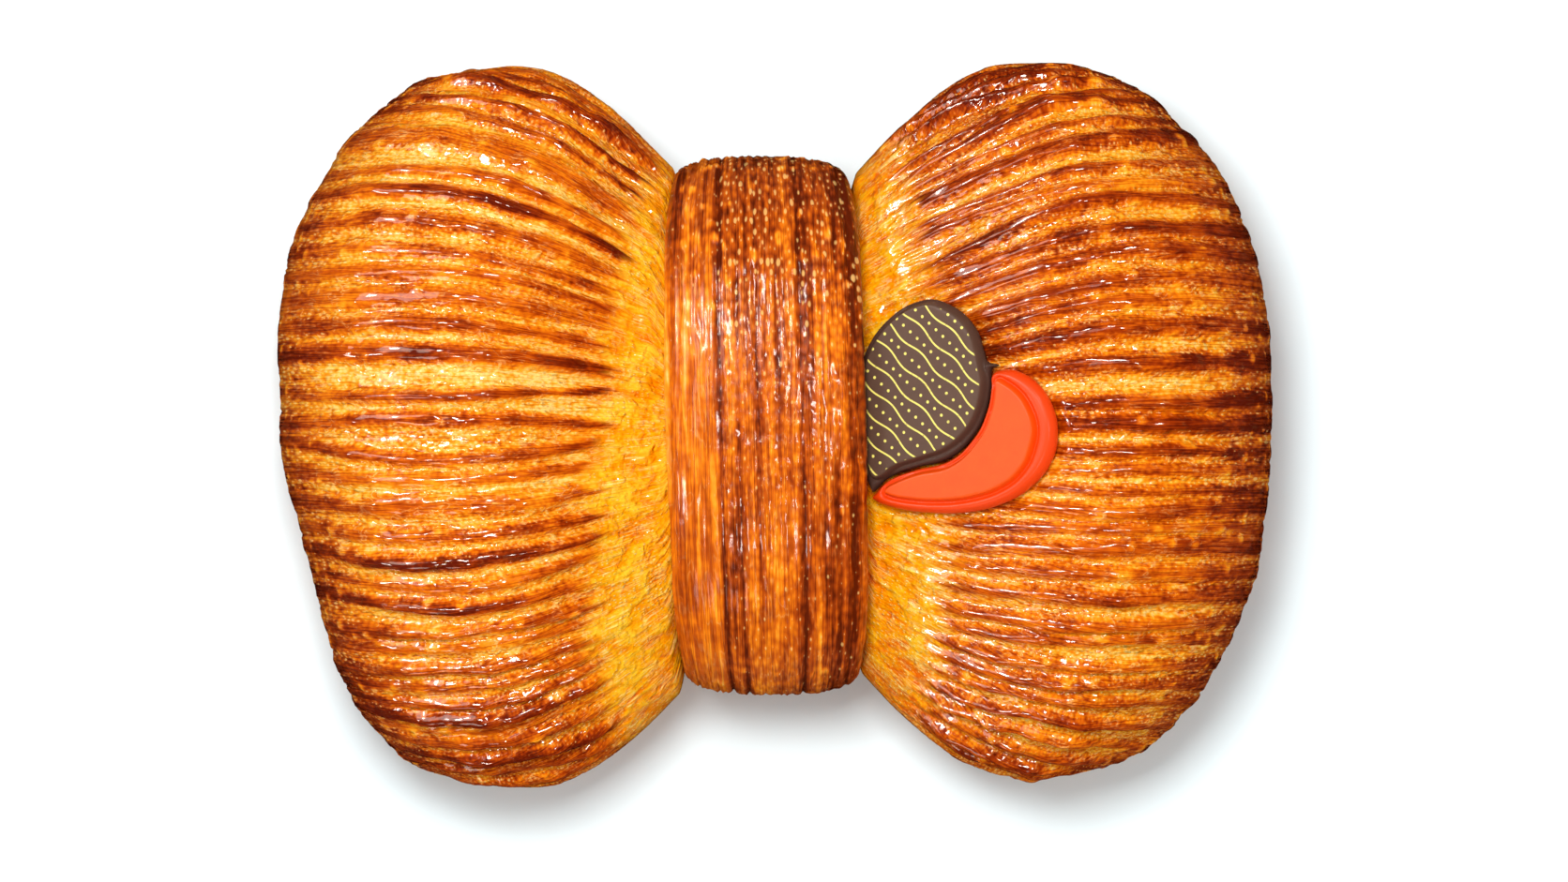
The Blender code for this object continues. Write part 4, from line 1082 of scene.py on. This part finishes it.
def crust_material(name, stops, streak_scale, curl_scale, dot_scale,
                   streak_much, mottle_much, glint_much, bump_mm, gloss,
                   gloss_rough):
    g = Graph(name)
    strand = g.attr("strand", True)
    brown, pale = g.attr("brown"), g.attr("pale")
    crest, flat = g.attr("crest"), g.attr("flat")
    rim, dip_shade, dots = g.attr("rim"), g.attr("dip_shade"), g.attr("dots")
    streak = g.noise(g.vec("MULTIPLY", strand, streak_scale), 1.0, 2.0,
                     0.6, 0.25)
    curl = g.noise(g.vec("MULTIPLY", strand, curl_scale), 1.0, 1.0, 0.45, 0.9)
    geo = g.new("ShaderNodeNewGeometry").outputs["Position"]
    broad = g.noise(geo, 600.0, 1.0, 0.5, 0.9)
    mottle = g.noise(geo, 300.0, 2.0, 0.55)
    relief = g.mixf(pale, curl, broad)
    # small blisters, each cell with its own size
    cell = g.new("ShaderNodeTexVoronoi", voronoi_dimensions="2D",
                 feature="F1")
    cell.inputs["Scale"].default_value = 1.0
    g.link(g.vec("MULTIPLY", strand, dot_scale), cell.inputs["Vector"])
    pick = g.new("ShaderNodeSeparateColor")
    g.link(cell.outputs["Color"], pick.inputs[0])
    size = g.math("MULTIPLY_ADD", dots, 0.62,
                  g.math("MULTIPLY_ADD", pick.outputs[0], 0.62, -0.70))
    size = g.math("MULTIPLY", size, g.range(pick.outputs[1], 0.0, 1.0,
                                            0.45, 0.95))
    blister = g.math("SUBTRACT", size, cell.outputs["Distance"])
    blister = g.range(blister, -0.02, 0.14)

    def contour(value, at, wide):
        off = g.math("ABSOLUTE", g.math("SUBTRACT", value, at))
        return g.range(off, 0.0, wide, 1.0, 0.0)

    # thin seams along the strands, each with a pale lip beside it
    seam = contour(streak, 0.47, 0.050)
    lip = contour(streak, 0.56, 0.035)
    squiggle_glint = g.math("MULTIPLY", contour(relief, 0.53, 0.055),
                      g.range(mottle, 0.47, 0.55))
    pores = g.math("MULTIPLY", g.math("SUBTRACT", cell.outputs["Distance"],
                                      0.42), dots)
    f = g.math("MULTIPLY_ADD", g.math("SUBTRACT", streak, 0.5), streak_much,
               brown)
    f = g.math("MULTIPLY_ADD", pores, 0.46, f)
    f = g.math("MULTIPLY_ADD", g.math("SUBTRACT", curl, 0.5), -0.26, f)
    f = g.math("MULTIPLY_ADD", seam, 0.15, f)
    f = g.math("MULTIPLY_ADD", lip, -0.13, f)
    f = g.math("MULTIPLY_ADD", g.math("SUBTRACT", mottle, 0.5), mottle_much,
               f, clamp=True)
    colour = g.ramp(f, stops)
    # painted glints: pale squiggles along the wrinkles, with some paler skin in
    # them; paler skin on the blisters
    zone = g.range(f, 0.82, 0.32, 0.08 * glint_much, glint_much)
    skin_and_glint = g.math("MAXIMUM", g.math("MULTIPLY", squiggle_glint, zone),
                  g.math("MULTIPLY", blister, 0.60))
    skin_and_glint = g.math("POWER", skin_and_glint, 1.25)
    colour = g.mix(skin_and_glint, colour, srgb((255, 208, 122)))
    # neck: deeper amber in the dips and down the steep sides, which is painted
    # shade; yellow on the folds; short cream dashes and squiggles, partly paler
    # skin and partly painted glints
    p = g.math("MULTIPLY_ADD", g.math("SUBTRACT", streak, 0.5), 0.12, dip_shade)
    p = g.math("MULTIPLY_ADD", pores, 0.45, p)
    p = g.math("MULTIPLY_ADD", g.math("SUBTRACT", mottle, 0.5), 0.70, p,
               clamp=True)
    light = g.ramp(p, NECK)
    # painted glints: cream dashes beside the strand seams, partly paler skin
    skin_glint_dash = g.math("MULTIPLY", lip, g.range(mottle, 0.46, 0.54, 0.0, 0.75))
    light = g.mix(g.math("MAXIMUM", g.math("MULTIPLY_ADD", squiggle_glint, 0.22, skin_glint_dash,
                                           clamp=True),
                         g.math("MULTIPLY", blister, 0.90)), light,
                  srgb((255, 222, 126)))
    colour = g.mix(pale, colour, light)
    g.link(colour, g.bsdf.inputs["Base Color"])
    rough = g.math("MULTIPLY_ADD", mottle, 0.30, 0.30)
    rough = g.math("MULTIPLY_ADD", flat, 0.25, rough)
    g.link(rough, g.bsdf.inputs["Roughness"])
    g.bsdf.inputs["Specular IOR Level"].default_value = 0.02
    coat = g.math("MULTIPLY_ADD", rim, -0.35 * gloss, gloss)
    coat = g.math("MULTIPLY_ADD", flat, -0.9, coat, clamp=True)
    g.link(coat, g.bsdf.inputs["Coat Weight"])
    g.bsdf.inputs["Coat Roughness"].default_value = gloss_rough
    g.bsdf.inputs["Coat IOR"].default_value = 1.5
    amount = g.range(crest, 0.2, 0.95, 1.0, 0.35)
    h = g.math("MULTIPLY", relief, amount)
    h = g.math("MULTIPLY_ADD", blister, 0.12, h)
    h = g.math("MULTIPLY_ADD", seam, -0.09, h)
    h = g.math("MULTIPLY_ADD", pores, -0.16, h)
    normal = g.bump(h, 0.8, bump_mm * MM)
    g.link(normal, g.bsdf.inputs["Normal"])
    return g.mat


CRUST = ((0.0, (255, 208, 112)), (0.14, (252, 178, 56)),
         (0.30, (244, 148, 20)), (0.46, (228, 117, 6)), (0.62, (200, 84, 3)),
         (0.80, (152, 48, 0)), (1.0, (98, 20, 0)))
STRIP_CRUST = ((0.0, (255, 208, 120)), (0.16, (250, 162, 40)),
               (0.36, (232, 120, 10)), (0.56, (192, 82, 5)),
               (0.76, (150, 54, 3)), (1.0, (92, 25, 0)))
NECK = ((0.0, (255, 196, 44)), (0.35, (254, 170, 6)), (0.7, (247, 138, 0)),
        (1.0, (226, 98, 0)))


def chocolate_material(name, base, edge, rough, coat, printed):
    g = Graph(name)
    plane = g.attr("plane", True)
    face = g.attr("face")
    n1 = g.noise(plane, 0.35, 2.0)
    n2 = g.noise(plane, 1.6, 3.0, 0.6)
    tone = g.mix(g.range(n1, 0.3, 0.7), base, tuple(v * 0.88 for v in base))
    tone = g.mix(g.range(n2, 0.45, 0.8, 0.0, 0.35), tone,
                 tuple(min(v * 1.25, 1) for v in base))
    rim = g.range(face, -0.5, 0.1, 1.0, 0.0)
    colour = g.mix(rim, tone, edge)
    if printed:
        # a plain print: slanted rows of thin waves with dots between them
        sep = g.new("ShaderNodeSeparateXYZ")
        g.link(plane, sep.inputs[0])
        x, y = sep.outputs[0], sep.outputs[1]
        c, s = math.cos(math.radians(-41)), math.sin(math.radians(-41))
        u = g.math("ADD", g.math("MULTIPLY", x, c), g.math("MULTIPLY", y, s))
        v = g.math("SUBTRACT", g.math("MULTIPLY", y, c),
                   g.math("MULTIPLY", x, s))
        row = 3.0
        ri = g.math("ROUND", g.math("DIVIDE", v, row))
        fv = g.math("SUBTRACT", v, g.math("MULTIPLY", ri, row))
        phase = g.math("MULTIPLY_ADD", u, 2 * math.pi / 7.5,
                       g.math("MULTIPLY", ri, 2.4))
        wave = g.math("SUBTRACT", fv, g.math("MULTIPLY",
                                             g.math("SINE", phase), 0.30))
        line = g.range(g.math("ABSOLUTE", wave), 0.10, 0.17, 1.0, 0.0)
        half = g.math("SUBTRACT", g.math("ABSOLUTE", fv), row * 0.5)
        du = g.math("SUBTRACT", u, g.math("MULTIPLY", g.math(
            "ROUND", g.math("DIVIDE", u, 1.5)), 1.5))
        near = g.math("SQRT", g.math("ADD", g.math("MULTIPLY", half, half),
                                     g.math("MULTIPLY", du, du)))
        ink = g.math("MAXIMUM", line, g.range(near, 0.19, 0.26, 1.0, 0.0))
        ink = g.math("MULTIPLY", ink, g.range(face, 0.25, 0.45))
        wear = g.range(g.noise(plane, 2.2, 2.0), 0.30, 0.42, 0.55, 1.0)
        ink = g.math("MULTIPLY", ink, wear)
        colour = g.mix(ink, colour, srgb((238, 222, 110)))
    g.link(colour, g.bsdf.inputs["Base Color"])
    g.link(g.math("MULTIPLY_ADD", n2, 0.16, rough - 0.08),
           g.bsdf.inputs["Roughness"])
    g.bsdf.inputs["Specular IOR Level"].default_value = 0.10
    g.bsdf.inputs["Coat Weight"].default_value = coat
    g.bsdf.inputs["Coat Roughness"].default_value = 0.28
    tiny = g.noise(plane, 3.5, 2.0)
    g.link(g.bump(tiny, 0.25, 0.00006), g.bsdf.inputs["Normal"])
    return g.mat


# ------------------------------------------------------------ assembly
wing_left = build_wing("left", 21)
wing_right = build_wing("right", 57)
strip = build_strip(83)
dark = heart_half("heart_dark_choc", DARK_EDGE, DARK_FACE, 0.30, False)
red = heart_half("heart_red_choc", RED_EDGE, RED_FACE, 0.48, True)

crust_mat = crust_material("crust", CRUST, (0.065, 1.1, 1.0),
                           (0.50, 1.05, 1.0), (1.25, 1.55, 1.0), 0.38, 0.32,
                           0.78, 1.0, 1.0, 0.08)
strip_mat = crust_material("strip_crust", STRIP_CRUST, (0.045, 1.15, 1.0),
                           (0.26, 1.05, 1.0), (0.80, 1.25, 1.0), 0.26, 0.50,
                           0.36, 0.80, 0.50, 0.14)
dark_mat = chocolate_material("dark_choc", srgb((90, 64, 51)),
                              srgb((74, 49, 40)), 0.50, 0.10, True)
red_mat = chocolate_material("red_choc", srgb((240, 78, 6)),
                             srgb((228, 62, 4)), 0.42, 0.16, False)
for obj, mat, node_name, slot in (
        (wing_left, crust_mat, "wings", "dough"),
        (wing_right, crust_mat, "wings", "dough"),
        (strip, strip_mat, "strip", "strip_dough"),
        (dark, dark_mat, "heart_dark", "dark_chocolate"),
        (red, red_mat, "heart_red", "red_chocolate")):
    obj.data.materials.append(mat)
    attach(obj, "root")
    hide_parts(node_name)

# ------------------------------------------------------------ stage
floor_mesh = bpy.data.meshes.new("floor")
floor_mesh.from_pydata([(-3, -3, 0), (3, -3, 0), (3, 3, 0), (-3, 3, 0)], [],
                       [(0, 1, 2, 3)])
floor = bpy.data.objects.new("floor", floor_mesh)
floor.location = (0, 0, -0.0002)
bpy.context.scene.collection.objects.link(floor)
g = Graph("floor")
g.bsdf.inputs["Base Color"].default_value = (0.815, 0.925, 0.950, 1)
g.bsdf.inputs["Roughness"].default_value = 0.9
g.bsdf.inputs["Specular IOR Level"].default_value = 0.1
floor.data.materials.append(g.mat)


def area(name, at, to, size, power, colour=(1, 1, 1), size_y=None):
    light = bpy.data.lights.new(name, "AREA")
    light.shape = "RECTANGLE"
    light.size = size
    light.size_y = size_y or size
    light.energy = power
    light.color = colour
    obj = bpy.data.objects.new(name, light)
    obj.location = at
    d = Vector(to) - Vector(at)
    obj.rotation_euler = d.to_track_quat("-Z", "Y").to_euler()
    bpy.context.scene.collection.objects.link(obj)
    return obj


floor.visible_glossy = False
key = area("key", (-0.09, 0.16, 0.96), (0, 0, 0.03), 0.26, 7.4)
key.visible_glossy = False
# these only show in the glaze: a soft panel, and small bright windows
for name, at, size, power in (
        ("panel", (-0.72, 0.30, 0.64), 0.58, 5.6),
        ("panel_low", (-0.45, -0.75, 0.55), 0.30, 1.8),
        ("veil", (0.04, 0.26, 1.00), 0.26, 0.6),
        ("spark_a", (-0.70, 0.34, 0.66), 0.15, 4.8),
        ("spark_b", (-0.30, 0.30, 0.92), 0.13, 3.2),
        ("spark_c", (0.10, 0.55, 0.84), 0.13, 3.0),
        ("spark_d", (0.42, 0.08, 0.90), 0.10, 2.0),
        ("spark_e", (-0.12, -0.40, 0.92), 0.10, 1.8),
        ("spark_f", (-0.95, -0.20, 0.40), 0.10, 1.6)):
    warm = (1.0, 0.86, 0.74) if size > 0.2 else (1.0, 0.95, 0.88)
    lamp = area(name, at, (0, 0, 0.03), size, power, warm)
    lamp.visible_diffuse = False
world = bpy.data.worlds.new("studio")
bpy.context.scene.world = world
world.use_nodes = True
world.node_tree.nodes["Background"].inputs["Color"].default_value = (1, 1, 1, 1)
world.node_tree.nodes["Background"].inputs["Strength"].default_value = 0.72
world.cycles_visibility.glossy = False

cam_data = bpy.data.cameras.new("camera")
cam_data.lens = 900.0
cam_data.sensor_width = 36.0
cam = bpy.data.objects.new("camera", cam_data)
bpy.context.scene.collection.objects.link(cam)
look = (0.00119 + SHIFT[0] * MM, -0.00231 + SHIFT[1] * MM)
cam.location = (look[0], look[1], 0.022 + 0.234 * 900.0 / 36.0)
cam.rotation_euler = (0, 0, 0)
cam_data.clip_start = 0.01
bpy.context.scene.camera = cam
bpy.context.scene.view_settings.view_transform = "Standard"
bpy.context.scene.view_settings.look = "None"
